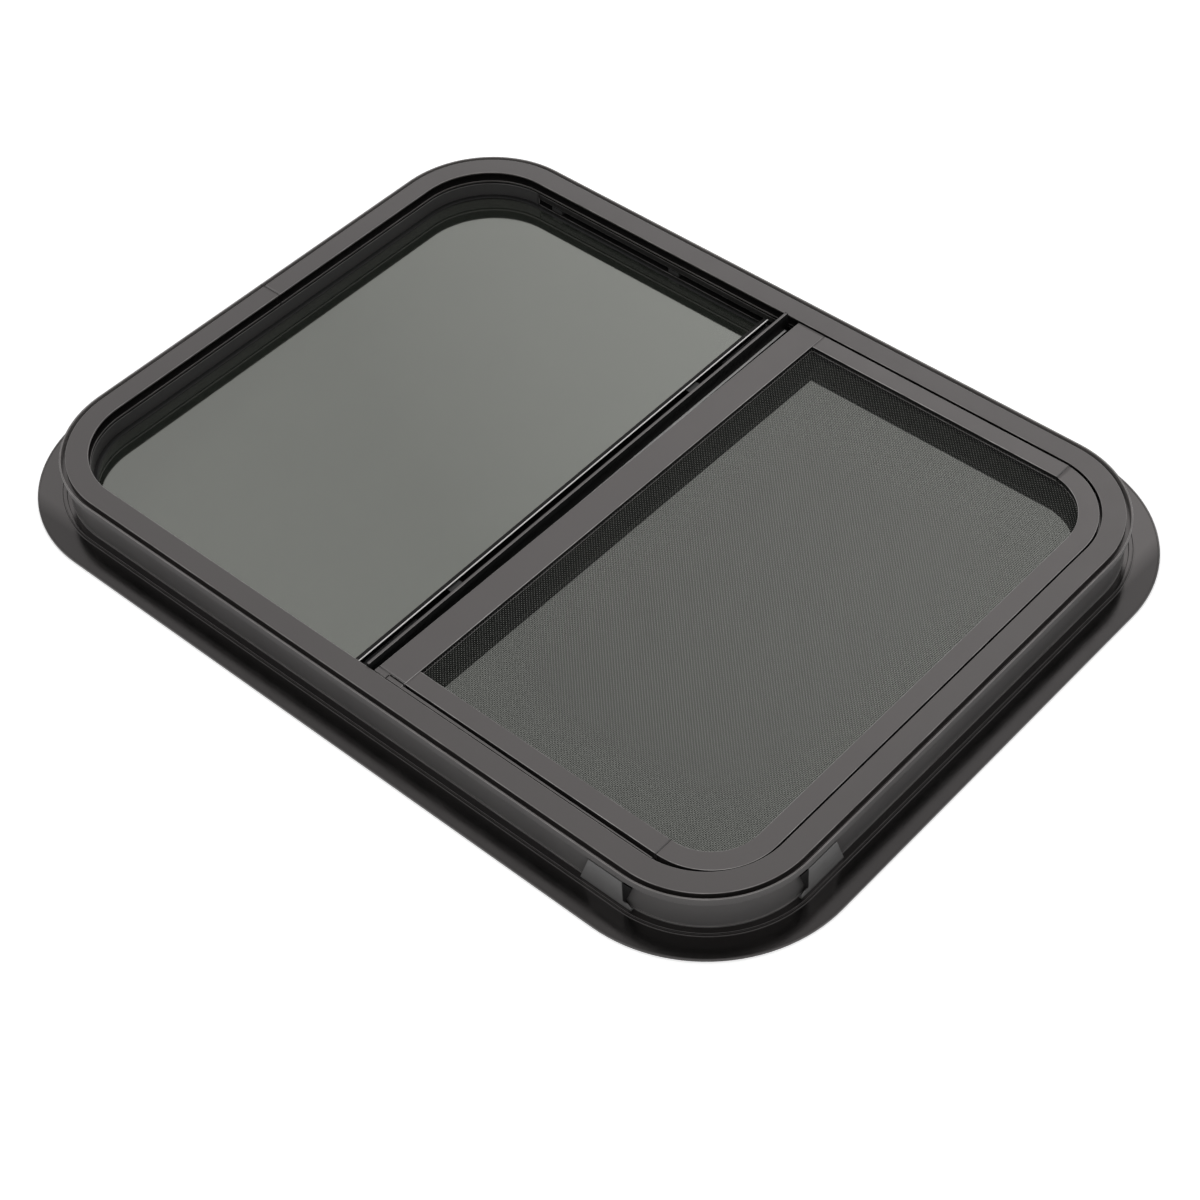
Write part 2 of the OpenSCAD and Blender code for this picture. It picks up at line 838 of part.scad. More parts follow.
// Leaning outline of a clip seen from outside, with its corner end at the given place
module clip_outline(corner_end) {
    clip_height = clip_top - flange_t;
    translate([corner_end, flange_t]) {
        polygon([[-clip_length, 0], [0, 0], [clip_lean, clip_height],
            [clip_lean - clip_length, clip_height]]);
        polygon([[-over, 0], [clip_tab_length, 0], [clip_tab_length, clip_tab_height / 2],
            [clip_tab_length / 2, clip_tab_height], [-over, clip_tab_height]]);
    }
}

// Spring clip standing in the outer channel on the near side, beside the corner
module near_channel_clip() {
    color(frame_colour)
        intersection() {
            union() {
                run(3, straight_x)
                    clip_profile();
                bend(3)
                    clip_profile();
            }
            rotate([90, 0, 0])
                linear_extrude(height = body_height)
                    clip_outline(straight_x / 2 + clip_overrun);
        }
}

// Spring clip standing in the outer channel on the right side, beside the same corner
module end_channel_clip() {
    color(frame_colour)
        intersection() {
            union() {
                run(0, straight_y)
                    clip_profile();
                bend(3)
                    clip_profile();
            }
            rotate([90, 0, -90])
                linear_extrude(height = 2 * body_length, center = true)
                    clip_outline(straight_y / 2 + clip_overrun);
        }
}

// Drain cover under the outer shelf at one end
module drain(s) {
    color(frame_colour)
        translate([s * drain_x - drain_length / 2, -half_y + pocket_back + play,
            glazing_shelf_z - wall_t - drain_height])
            cube([drain_length, drain_depth, drain_height]);
}

// Drain cover under the outer shelf, left one
module left_drain() {
    drain(-1);
}

// Drain cover under the outer shelf, right one
module right_drain() {
    drain(1);
}

// Small stop in the far track at a distance from the left wall
module track_stop(reach) {
    color(frame_colour)
        translate([reach - inner_x - stop_length / 2, inner_y + play, track_floor_z])
            cube([stop_length, stop_depth, stop_height]);
}

// Small stop in the far track, left one
module left_track_stop() {
    track_stop(left_stop_reach);
}

// Small stop in the far track, right one
module right_track_stop() {
    track_stop(right_stop_reach);
}

frame();
outer_shelf();
frame_splice();
fixed_pane();
glazing_bed();
glazing_seal();
meeting_bar();
meeting_pile();
side_liner();
far_track();
far_track_floor();
near_track();
near_track_floor();
end_track();
far_pile();
near_pile();
end_pile();
slide_pane();
pull_stile();
stile_wedge();
far_latch_plate();
near_latch_plate();
far_latch_clip();
near_latch_clip();
far_glide();
near_glide();
screen_stile();
screen_far_rail();
screen_near_rail();
screen_curve();
screen_filler();
screen_mesh();
screen_spline();
near_channel_clip();
end_channel_clip();
left_drain();
right_drain();
left_track_stop();
right_track_stop();
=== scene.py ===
"""A caravan window lying on its outer flange: black aluminium, tinted glass and an insect screen."""

import bpy
import numpy as np
from mathutils import Matrix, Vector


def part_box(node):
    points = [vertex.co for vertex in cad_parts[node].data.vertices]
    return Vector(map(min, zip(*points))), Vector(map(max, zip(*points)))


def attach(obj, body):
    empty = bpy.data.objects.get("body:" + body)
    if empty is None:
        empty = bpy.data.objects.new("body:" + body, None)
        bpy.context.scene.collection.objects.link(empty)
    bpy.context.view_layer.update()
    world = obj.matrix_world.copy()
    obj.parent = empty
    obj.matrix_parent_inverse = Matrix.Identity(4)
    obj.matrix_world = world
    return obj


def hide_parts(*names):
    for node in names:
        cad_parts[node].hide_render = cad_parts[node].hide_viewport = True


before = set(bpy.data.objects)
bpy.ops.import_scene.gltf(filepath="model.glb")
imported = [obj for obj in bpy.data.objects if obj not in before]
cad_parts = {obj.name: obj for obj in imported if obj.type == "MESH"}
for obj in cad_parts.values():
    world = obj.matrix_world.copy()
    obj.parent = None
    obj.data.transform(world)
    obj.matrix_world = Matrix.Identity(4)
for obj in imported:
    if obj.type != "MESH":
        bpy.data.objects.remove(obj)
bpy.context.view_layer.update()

# Sizes in millimetres, in the frame of the part
MM = 0.001
PLAY = 0.4

# The bent frame
FLANGE_WIDTH = 26.7
FLANGE_CORNER_R = 125.7
FLANGE_T = 2.0
RIM_WIDTH = 1.6
RIM_RISE = 0.4
BODY_CORNER_R = 94.0
HALF_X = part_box("frame")[1][0] / MM - FLANGE_WIDTH
HALF_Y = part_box("frame")[1][1] / MM - FLANGE_WIDTH
WALL_T = 1.6
CHANNEL_DEPTH = 4.2
POCKET_BACK = CHANNEL_DEPTH + WALL_T
FIN_TOP = 38.9
FIN_T = 1.3
FIN_LIP_HEIGHT = 2.0
FIN_LIP_STEP = 0.4
SLOT_DEPTH = 5.7
SLOT_FLOOR = FIN_TOP - SLOT_DEPTH
RING_OFFSET = 5.0
RING_INSET = 24.0
RING_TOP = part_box("screen_stile")[1][2] / MM
RIDGE_START = 0.2
RIDGE_END = 2.8
RIDGE_RISE = 1.4
BEAD_START = 3.7
BEAD_END = 4.8
BEAD_RISE = 0.6
FOOT_WIDTH = 1.0
FOOT_RISE = 1.2
SCREEN_SHELF_Z = 30.0
GLAZING_SHELF_Z = 7.6
INNER_X = HALF_X - RING_INSET
INNER_Y = HALF_Y - RING_INSET
INNER_R = BODY_CORNER_R - RING_INSET
JOINT_GAP = 0.16
EDGE_R = 0.25
RIM_CORNERS = 4
RIM_EDGE_R = 0.5
FIN_EDGE_R = 0.45
RING_EDGE_R = 0.6

# The fixed glass with its rubber lip, the liner and the tracks
GLASS_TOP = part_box("fixed_pane")[1][2] / MM
GLASS_T = 3.2
SEAL_T = 0.8
SEAL_SIGHT = 3.7
SEAL_SLOPE = 1.2
SEAL_LIP_T = 0.3
SEAL_EDGE_R = 0.12
PANE_BITE = 8.0
LINER_T = 1.2
LINER_DEPTH = 14.0
LINER_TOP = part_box("side_liner")[1][2] / MM
LINER_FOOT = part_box("side_liner")[0][2] / MM
TRACK_FLOOR = 15.9
TRACK_ROOF = 21.3
TRACK_LIP = 1.0

# The upright bar on the edge of the fixed glass
BAR_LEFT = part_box("meeting_bar")[0][0] / MM
BAR_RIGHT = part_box("meeting_bar")[1][0] / MM
BAR_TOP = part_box("meeting_bar")[1][2] / MM
BAR_WALL = 1.4
BAR_LIP_WIDTH = 14.0

# The pull stile on the edge of the sliding glass, with its tall blade
BLADE_X = 7.4
BLADE_T = 3.2
BLADE_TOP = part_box("pull_stile")[1][2] / MM
BLADE_CHAMFER = (0.7, 4.0)
BLADE_RADII = (0.05, 0.05, 0.5, 0.2, 0.5)
BLADE_BITE = 0.3
BLADE_GAP = 0.7
BLADE_LENGTH = 2 * (INNER_Y - BLADE_GAP)
STILE_GAP = 5.5
STILE_LENGTH = 2 * (INNER_Y - STILE_GAP)
STILE_REACH = 20.6
STILE_T = 1.4
STILE_FLOOR = 21.6
FORK_DEPTH = 9.0
LEDGE_Z = 27.0
LEDGE_WIDTH = 2.0
SLIDE_PANE_Z = 16.8
SLIDE_PANE_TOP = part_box("slide_pane")[1][2] / MM
OUTER_LIP_Z = 29.0
STEP_LIP_Z = 26.4
STEP_WIDTH = 2.0
BEAD_REACH = 3.3
BEAD_WIDTH = 1.2
BEAD_T = 0.8
BEAD_STEP = 0.3
BEAD_SLOPE = 0.1
SETTLE_ANGLE = np.radians(0.85)

# The insect screen's members
SCREEN_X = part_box("screen_stile")[0][0] / MM
SCREEN_STILE_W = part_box("screen_stile")[1][0] / MM - SCREEN_X
SLIT_LENGTH = 14.7
SLIT_WIDTH = 1.4
TONGUE_ROOT = 1.0
STILE_FOOT = 8.0
SCREEN_EDGE_R = 0.5
CURVE_EDGE_R = 0.4
CUT_R = 0.01
FILLER_R = (0.05, 0.3, 0.3, 0.05)
SCREEN_RAIL_W = 16.4
SCREEN_GAP = 1.6
SCREEN_FAR_GAP = 2.6
FILLER_WIDTH = 3.8
SCREEN_T = 1.3
MESH_DEPTH = 2.9
MESH_T = 0.5
SPLINE_T = 1.6
TOE = 3.6
SEAM = 0.18
SCREEN_RIGHT = INNER_X - SCREEN_GAP
SCREEN_FAR = INNER_Y - SCREEN_FAR_GAP
SCREEN_NEAR = -INNER_Y + SCREEN_GAP + FILLER_WIDTH
SCREEN_R = INNER_R - SCREEN_GAP
SCREEN_NEAR_R = 60.0
FILLER_SHARE = (0.75, 0.30)
SCREEN_MID = (SCREEN_FAR + SCREEN_NEAR) / 2
SCREEN_HALF = (SCREEN_FAR - SCREEN_NEAR) / 2
STILE_RIGHT = SCREEN_X + SCREEN_STILE_W
CURVE_WIDTH = 60.4
CURVE_X = SCREEN_RIGHT - CURVE_WIDTH
SCREEN_LIFT = 0.2
SCREEN_FLOOR = SCREEN_SHELF_Z + SCREEN_LIFT
MESH_Z = RING_TOP - MESH_DEPTH - MESH_T
MESH_TOP = MESH_Z + MESH_T
GROOVE_Z = MESH_Z - SPLINE_T

# The woven cloth
THREAD_PITCH = 1.45
THREAD_R = 0.18
THREAD_SIDES = 6
LAYER_SHARE = 0.8
CLOTH_BITE = 1.9
CLOTH_INSET = SCREEN_RAIL_W - SCREEN_T - CLOTH_BITE
CLOTH_LEFT = STILE_RIGHT - SCREEN_T - CLOTH_BITE
CLOTH_HALF = SCREEN_HALF - CLOTH_INSET
FIRST_CROSSING = (CLOTH_LEFT + THREAD_PITCH / 2, SCREEN_MID - CLOTH_HALF + THREAD_PITCH / 2)

# How outlines are rounded and carried along their paths
CORNER_STEPS = 28
FILLET_STEPS = 3
FILLET_R = 0.3
FILLET_ROOM = 0.45
# Signs of x and y at the far right, far left, near left and near right corners
CORNERS = ((1, 1), (-1, 1), (-1, -1), (1, -1))
LONG_STRAIGHT = 30.0
END_STATION = 2.0
SHORT_LEAD = 0.2
NORMAL_WEIGHT = 80

# How the finishes vary, with noise scales per metre and heights in metres
GRAIN_DETAIL = 4.0
GRAIN_ROUGHNESS = 0.6
GRAIN_RANGE = (0.3, 0.7)
FINE_HEIGHT = 0.0002
FINE_DEPTH = 0.08
CLOUD_SCALE = 9.0
# The paler line along rounded edges is a painted highlight, laid in noise patches
EDGE_HIGHLIGHT_SCALE = 60.0
EDGE_HIGHLIGHT_RANGE = (0.15, 0.7)
COAT_SMEAR_SCALE = 35.0
COAT_GRAIN_SCALE = 2600.0
COAT_SWING = 0.05
COAT_TINT = (1.0, 0.935, 0.925, 1.0)
COAT_EDGE_HIGHLIGHT = (0.34, 0.325, 0.32)
GLASS_CLOUD_SCALE = 14.0
GLASS_SMEAR_SCALE = 40.0
GLASS_ROUGH = (0.02, 0.05)
GLASS_WAVE_SCALE = 6.0
GLASS_WAVE_DEPTH = 0.02
GLASS_WAVE_HEIGHT = 0.002
GLASS_IOR = 2.35
GLASS_TINT = (0.985, 1.0, 0.935, 1.0)
SOFT_SMEAR_SCALE = 80.0
SOFT_SWING = 0.06
SOFT_SHINE = 0.3
SOFT_HEIGHT = 0.0004
BRUSH_SCALE = 2200.0
BRUSH_STRETCH = (1.0, 0.03, 1.0)
BRUSH_LIGHTER = 1.25
BRUSH_SWING = 0.06
BRUSH_METAL = 0.6
THREAD_IOR = 1.28
KNOT_GLINT_RANGE = (0.7, 1.0)
KNOT_DEPTH = 0.4
THREAD_GRAIN_SCALE = 700.0
THREAD_ROUGH = 0.5
THREAD_SWING = 0.1
THREAD_BLACK = (0.003, 0.003, 0.003)

# Where painted shade lies: on the flange where the walls keep light from it, and on the clips' black ends, in
# millimetres
SHELTER_X = 383.0
SHELTER_Y = 283.0
SHELTER_WIDTH = 27.0
SHELTER_R = INNER_R + SHELTER_WIDTH
SHELTER_EDGE = (-10.0, 4.0)
SHELTER_SHINE = (0.5, 0.26)
CLIP_END = 567.0
CLIP_FOOT = 9.0
CLIP_FADE = 0.3
CLIP_SHADOW = (0.004, 0.004, 0.004)

# The room: the way from the window to the middle of its brighter side, levels of light, the floor
BRIGHT_SIDE = (-0.275, 0.847, 0.454)
BRIGHT_EDGE = (0.86, 0.96)
GLOSS_LEVELS = (0.9, 1.4)
ROOM_LEVELS = (0.62, 1.0)
FLOOR_HALF = 6.0
FLOOR_TONE = 0.86
FLOOR_GLOW = 0.4

# The camera, in metres, with its lens and sensor in millimetres
CAMERA_PLACE = (1.04266, -1.05719, 1.48055)
CAMERA_AHEAD = (-0.47720, 0.48841, -0.73057)
CAMERA_RIGHT = (0.74599, 0.66457, -0.04298)
LENS = 77.17
SENSOR = 36.0
FAR_CLIP = 50.0


def unit(v):
    """Each vector divided by its length."""
    return v / np.linalg.norm(v, axis=-1, keepdims=True)


def rounded_profile(corners, radius):
    """Closed outline with every corner turned into a circular arc.

    At a corner P with directions u and w to its neighbours and the angle f between them, the arc
    has its centre on the bisector at radius / sin(f / 2) and touches both sides. The arc is the
    circular interpolation of its two end radii. Returns the points and, for each, how far it
    lies on a rounded outer edge, from 0 to 1.
    """
    p = np.asarray(corners, float)
    before, after = np.roll(p, 1, 0) - p, np.roll(p, -1, 0) - p
    room = FILLET_ROOM * np.minimum(np.linalg.norm(before, axis=1), np.linalg.norm(after, axis=1))
    u, w = unit(before), unit(after)
    angle = np.arccos(np.clip((u * w).sum(1), -1, 1))
    wanted = np.broadcast_to(np.asarray(radius, float), len(p)) / np.tan(angle / 2)
    touch = np.minimum(wanted, room)
    r = touch * np.tan(angle / 2)
    centre = p + unit(u + w) * (r / np.sin(angle / 2))[:, None]
    first, last = p + u * touch[:, None] - centre, p + w * touch[:, None] - centre
    turn = (np.pi - angle)[:, None, None]
    s = np.linspace(0, 1, FILLET_STEPS + 1)[None, :, None]
    arc = (np.sin((1 - s) * turn) * first[:, None] + np.sin(s * turn) * last[:, None]) / np.sin(turn)
    points = (centre[:, None] + arc).reshape(-1, 2)
    area = 0.5 * np.sum(p[:, 0] * np.roll(p[:, 1], -1) - p[:, 1] * np.roll(p[:, 0], -1))
    cross = (-u[:, 0] * w[:, 1] + u[:, 1] * w[:, 0]) * np.sign(area)
    outer = (cross > 0).astype(float)[:, None] * np.sin(np.pi * s[0, :, 0])[None]
    return points, outer.reshape(-1)


def corner_arc(corner, reach, radius, end=1.0, centre_y=0.0, half=(HALF_X, HALF_Y)):
    """Stations round one corner of a rounded rectangle, for many offsets at once.

    The centre of the arc lies at the corner of the half sizes less the radius, and a station at
    share s is the centre plus the radius times the cosine and sine of (corner + s) right angles,
    with s from 0 to the end's share.
    """
    sx, sy = CORNERS[corner]
    half_x, half_y = half
    share = np.asarray(end) * np.linspace(0, 1, CORNER_STEPS + 1)[:, None]
    angle = (corner + share) * np.pi / 2
    x = sx * (half_x + reach - radius) + radius * np.cos(angle)
    y = centre_y + sy * (half_y + reach - radius) + radius * np.sin(angle)
    return np.stack([x, y], -1)


def with_stations(path):
    """The same path with extra stations on its long straights, by straight interpolation."""
    gap = np.linalg.norm(path[1:] - path[:-1], axis=-1).mean(1)
    rows = []
    for k, length in enumerate(gap):
        here, after = path[k:k + 1], path[k + 1:k + 2]
        rows.append(here)
        if length > LONG_STRAIGHT:
            lead = END_STATION / length
            t = np.array([lead, 0.25, 0.5, 0.75, 1 - lead])[:, None, None]
            rows.append(here * (1 - t) + after * t)
    rows.append(path[-1:])
    return np.concatenate(rows)


def make_object(name, points, quads, rest, edge=None, slots=None, smooth=True):
    """Object from points in millimetres, quads and other faces, turned so that they point outwards.

    Each face's share of the volume is the sum of a . (b x c) over its triangles from its first
    point, and all the faces are turned round where the sum comes out negative.
    """
    points = np.asarray(points, float).reshape(-1, 3)
    a, b, c, d = (points[quads[:, k]] for k in range(4))
    volume = np.einsum("ij,ij->i", a, np.cross(b, c) + np.cross(c, d)).sum()
    for f in rest:
        q = points[f]
        volume += np.einsum("j,ij->i", q[0], np.cross(q[1:-1], q[2:])).sum()
    if volume < 0:
        quads = quads[:, ::-1]
        rest = [f[::-1] for f in rest]
    mesh = bpy.data.meshes.new(name)
    mesh.from_pydata((points * MM).tolist(), [], quads.tolist() + [list(map(int, f)) for f in rest])
    mesh.polygons.foreach_set("use_smooth", np.full(len(mesh.polygons), smooth))
    if slots is not None:
        index = np.concatenate([slots, np.full(len(rest), slots[0])]).astype(np.int32)
        mesh.polygons.foreach_set("material_index", index)
    if edge is not None:
        layer = mesh.attributes.new("edge", "FLOAT", "POINT")
        layer.data.foreach_set("value", np.asarray(edge, np.float32))
    mesh.update()
    piece = bpy.data.objects.new(name, mesh)
    bpy.context.scene.collection.objects.link(piece)
    if smooth:
        weigh = piece.modifiers.new("even_normals", "WEIGHTED_NORMAL")
        weigh.mode = "FACE_AREA"
        weigh.weight = NORMAL_WEIGHT
    return piece


def sweep(name, path, height, edge, slots=None):
    """Profile carried along a path: station i, profile point j is (path x, path y, height j)."""
    count, width = path.shape[:2]
    z = np.broadcast_to(height, (count, width))
    points = np.concatenate([path, z[..., None]], -1)
    i = np.arange(count - 1)[:, None] * width
    j = np.arange(width)[None]
    j2 = (j + 1) % width
    quads = np.stack([i + j, i + width + j, i + width + j2, i + j2], -1).reshape(-1, 4)
    caps = [np.arange(width)[::-1], np.arange(width) + (count - 1) * width]
    face_slots = None if slots is None else np.broadcast_to(slots, (count - 1, width)).reshape(-1)
    return make_object(name, points, quads, caps, np.tile(edge, count), face_slots)


def bar(name, corners, start, end, radius=FILLET_R, along="y", settled=False, slots=None):
    """Straight bar: a rounded profile in (across, height) carried from start to end."""
    profile, edge = rounded_profile(corners, radius)
    lead = min(END_STATION, (end - start) * SHORT_LEAD)
    stations = np.array([start, start + lead, (start + end) / 2, end - lead, end])
    across = np.broadcast_to(profile[:, 0], (len(stations), len(profile)))
    run = np.broadcast_to(stations[:, None], across.shape)
    path = np.stack([across, run] if along == "y" else [run, across], -1)
    if settled:
        path = settle(path)
    face_slots = None if slots is None else np.repeat(slots, FILLET_STEPS + 1)
    return sweep(name, path, profile[:, 1], edge, slots=face_slots)


def settle(path):
    """Points turned by the settled angle about the middle of the pull blade."""
    c, s = np.cos(SETTLE_ANGLE), np.sin(SETTLE_ANGLE)
    x, y = path[..., 0] - BLADE_X, path[..., 1]
    return np.stack([BLADE_X + c * x - s * y, s * x + c * y], -1)


def box_corners(a, b, z0, z1):
    """Corners of a rectangle from a to b and from height z0 to z1."""
    return [(a, z0), (b, z0), (b, z1), (a, z1)]


# The frame and what is fixed in it

def frame_corners():
    """Outline of the frame extrusion in (offset from the clamp fin, height), in three runs.

    The first run is the flange from its edge inwards, the second the channel wall and the fin, and
    the third the inner ring with the shelves.
    """
    slot_wall = RING_OFFSET + WALL_T
    slot_foot = SLOT_FLOOR - WALL_T
    flange = [(FLANGE_WIDTH, 0), (FLANGE_WIDTH, FLANGE_T + RIM_RISE),
              (FLANGE_WIDTH - RIM_WIDTH, FLANGE_T + RIM_RISE), (FLANGE_WIDTH - RIM_WIDTH, FLANGE_T),
              (BEAD_END, FLANGE_T), (BEAD_END, FLANGE_T + BEAD_RISE), (BEAD_START, FLANGE_T + BEAD_RISE),
              (BEAD_START, FLANGE_T), (RIDGE_END, FLANGE_T), (RIDGE_END, FLANGE_T + RIDGE_RISE),
              (RIDGE_START, FLANGE_T + RIDGE_RISE), (RIDGE_START, FLANGE_T)]
    channel = [(FOOT_WIDTH - CHANNEL_DEPTH, FLANGE_T), (FOOT_WIDTH - CHANNEL_DEPTH, FLANGE_T + FOOT_RISE),
               (-CHANNEL_DEPTH, FLANGE_T + FOOT_RISE), (-CHANNEL_DEPTH, slot_foot),
               (-FIN_LIP_STEP, slot_foot), (-FIN_LIP_STEP, FIN_TOP - FIN_LIP_HEIGHT),
               (0, FIN_TOP - FIN_LIP_HEIGHT), (0, FIN_TOP), (-FIN_T, FIN_TOP), (-FIN_T, SLOT_FLOOR),
               (-RING_OFFSET, SLOT_FLOOR)]
    ring = [(-RING_OFFSET, RING_TOP), (-RING_INSET, RING_TOP), (-RING_INSET, RING_TOP - WALL_T),
            (-slot_wall, RING_TOP - WALL_T), (-slot_wall, slot_foot), (-POCKET_BACK, slot_foot)]
    shelves = [(-POCKET_BACK, SCREEN_SHELF_Z), (-RING_INSET, SCREEN_SHELF_Z),
               (-RING_INSET, SCREEN_SHELF_Z - WALL_T), (-POCKET_BACK, SCREEN_SHELF_Z - WALL_T),
               (-POCKET_BACK, GLAZING_SHELF_Z), (-RING_INSET, GLAZING_SHELF_Z),
               (-RING_INSET, GLAZING_SHELF_Z - WALL_T), (-POCKET_BACK, GLAZING_SHELF_Z - WALL_T),
               (-POCKET_BACK, 0)]
    return flange, channel, ring + shelves


def make_frame():
    """The bent frame: its profile carried round the rounded rectangle, open at the joint on the left.

    The corner radius of a profile point is the radius of the fin plus its offset, apart from the
    rim of the flange, which has its own larger radius. The last slot is that of the underside.
    """
    flange, channel, ring = frame_corners()
    fin = len(flange) + channel.index((0, FIN_TOP))
    ring_start = len(flange) + len(channel)
    radii = np.full(len(flange + channel + ring), EDGE_R)
    radii[:RIM_CORNERS] = RIM_EDGE_R
    radii[fin:fin + 2] = FIN_EDGE_R
    radii[ring_start:ring_start + 2] = RING_EDGE_R
    profile, edge = rounded_profile(flange + channel + ring, radii)
    reach, height = profile[:, 0], profile[:, 1]
    rim = reach > (FLANGE_WIDTH - RIM_WIDTH) - RIM_WIDTH / 2
    radius = np.where(rim, FLANGE_CORNER_R - FLANGE_WIDTH + reach, BODY_CORNER_R + reach)
    left = np.stack([-(HALF_X + reach), np.full_like(reach, JOINT_GAP / 2)], -1)[None]
    path = np.concatenate([left * [1, -1]] + [corner_arc(k, reach, radius) for k in (2, 3, 0, 1)] + [left])
    # The walls' slot takes a paler copy of the black coat, which paints light on them
    flange_slot, ring_slot, lit_wall_slot, fin_highlight_slot = range(4)
    slots = np.full(len(radii), ring_slot)
    slots[:len(flange)] = flange_slot
    slots[len(flange):fin] = lit_wall_slot
    # The fin's slot takes a still paler coat, a painted highlight along its inner top edge
    slots[fin + 1] = fin_highlight_slot
    slots = np.repeat(slots, FILLET_STEPS + 1)
    slots[-1] = flange_slot
    return sweep("frame_extrusion", with_stations(path), height, edge, slots=slots)


def make_liner():
    """Plain liner of the left wall, carried round its two corners."""
    corners = [(-RING_INSET, LINER_FOOT), (-RING_INSET + LINER_T, LINER_FOOT),
               (-RING_INSET + LINER_T, LINER_TOP - LINER_T), (-RING_INSET + LINER_DEPTH, LINER_TOP - LINER_T),
               (-RING_INSET + LINER_DEPTH, LINER_TOP), (-RING_INSET, LINER_TOP)]
    profile, edge = rounded_profile(corners, FILLET_R)
    reach = profile[:, 0]
    path = np.concatenate([corner_arc(k, reach, BODY_CORNER_R + reach) for k in (1, 2)])
    return sweep("left_wall_liner", with_stations(path), profile[:, 1], edge)


def track_corners():
    """Outline of a sliding track, with its groove between floor and roof."""
    back = -RING_INSET + LINER_DEPTH
    lip = -RING_INSET - TRACK_LIP
    return [(back, LINER_FOOT), (back, LINER_TOP), (-RING_INSET, LINER_TOP), (-RING_INSET, TRACK_ROOF),
            (back - LINER_T, TRACK_ROOF), (back - LINER_T, TRACK_FLOOR), (lip, TRACK_FLOOR),
            (lip, LINER_FOOT)]


def make_tracks():
    """The two straight tracks and the one round the right end."""
    profile, edge = rounded_profile(track_corners(), FILLET_R)
    reach, height = profile[:, 0], profile[:, 1]
    end = HALF_X - BODY_CORNER_R - PLAY
    pieces = []
    for name, side in (("far_sliding_track", 1), ("near_sliding_track", -1)):
        x = np.array([-end, -end + END_STATION, 0, end - END_STATION, end])[:, None] + 0 * reach
        y = np.broadcast_to(side * (HALF_Y + reach), x.shape)
        pieces.append(sweep(name, np.stack([x, y], -1), height, edge))
    path = np.concatenate([corner_arc(k, reach, BODY_CORNER_R + reach) for k in (3, 0)])
    pieces.append(sweep("right_end_track", with_stations(path), height, edge))
    return pieces


def make_seal():
    """Rubber lip of the fixed glass, carried along three sides, thinner towards its free edge."""
    inner, outer = -RING_INSET - SEAL_SIGHT, -RING_INSET + PANE_BITE
    corners = [(outer, GLASS_TOP), (outer, GLASS_TOP + SEAL_T), (inner + SEAL_SLOPE, GLASS_TOP + SEAL_T),
               (inner, GLASS_TOP + SEAL_LIP_T), (inner, GLASS_TOP)]
    profile, edge = rounded_profile(corners, SEAL_EDGE_R)
    reach = profile[:, 0]
    free = np.stack([np.full_like(reach, BAR_LEFT - PLAY), HALF_Y + reach], -1)[None]
    path = np.concatenate([free] + [corner_arc(k, reach, BODY_CORNER_R + reach) for k in (1, 2)]
                          + [free * [1, -1]])
    return sweep("glazing_lip", with_stations(path), profile[:, 1], edge)


def make_meeting_bar():
    """Fixed upright bar that clasps the free edge of the fixed glass."""
    end = INNER_Y - TRACK_LIP - PLAY
    top, under = GLASS_TOP, GLASS_TOP - GLASS_T
    fork, step = BAR_RIGHT - BAR_WALL, BAR_LEFT + BAR_LIP_WIDTH - BAR_WALL
    corners = [(BAR_LEFT, under - BAR_WALL), (BAR_RIGHT, under - BAR_WALL), (BAR_RIGHT, BAR_TOP),
               (step, BAR_TOP), (step, top + BAR_WALL), (BAR_LEFT, top + BAR_WALL), (BAR_LEFT, top),
               (fork, top), (fork, under), (BAR_LEFT, under)]
    return bar("fixed_meeting_bar", corners, -end, end, EDGE_R)


# The sliding pane's stile

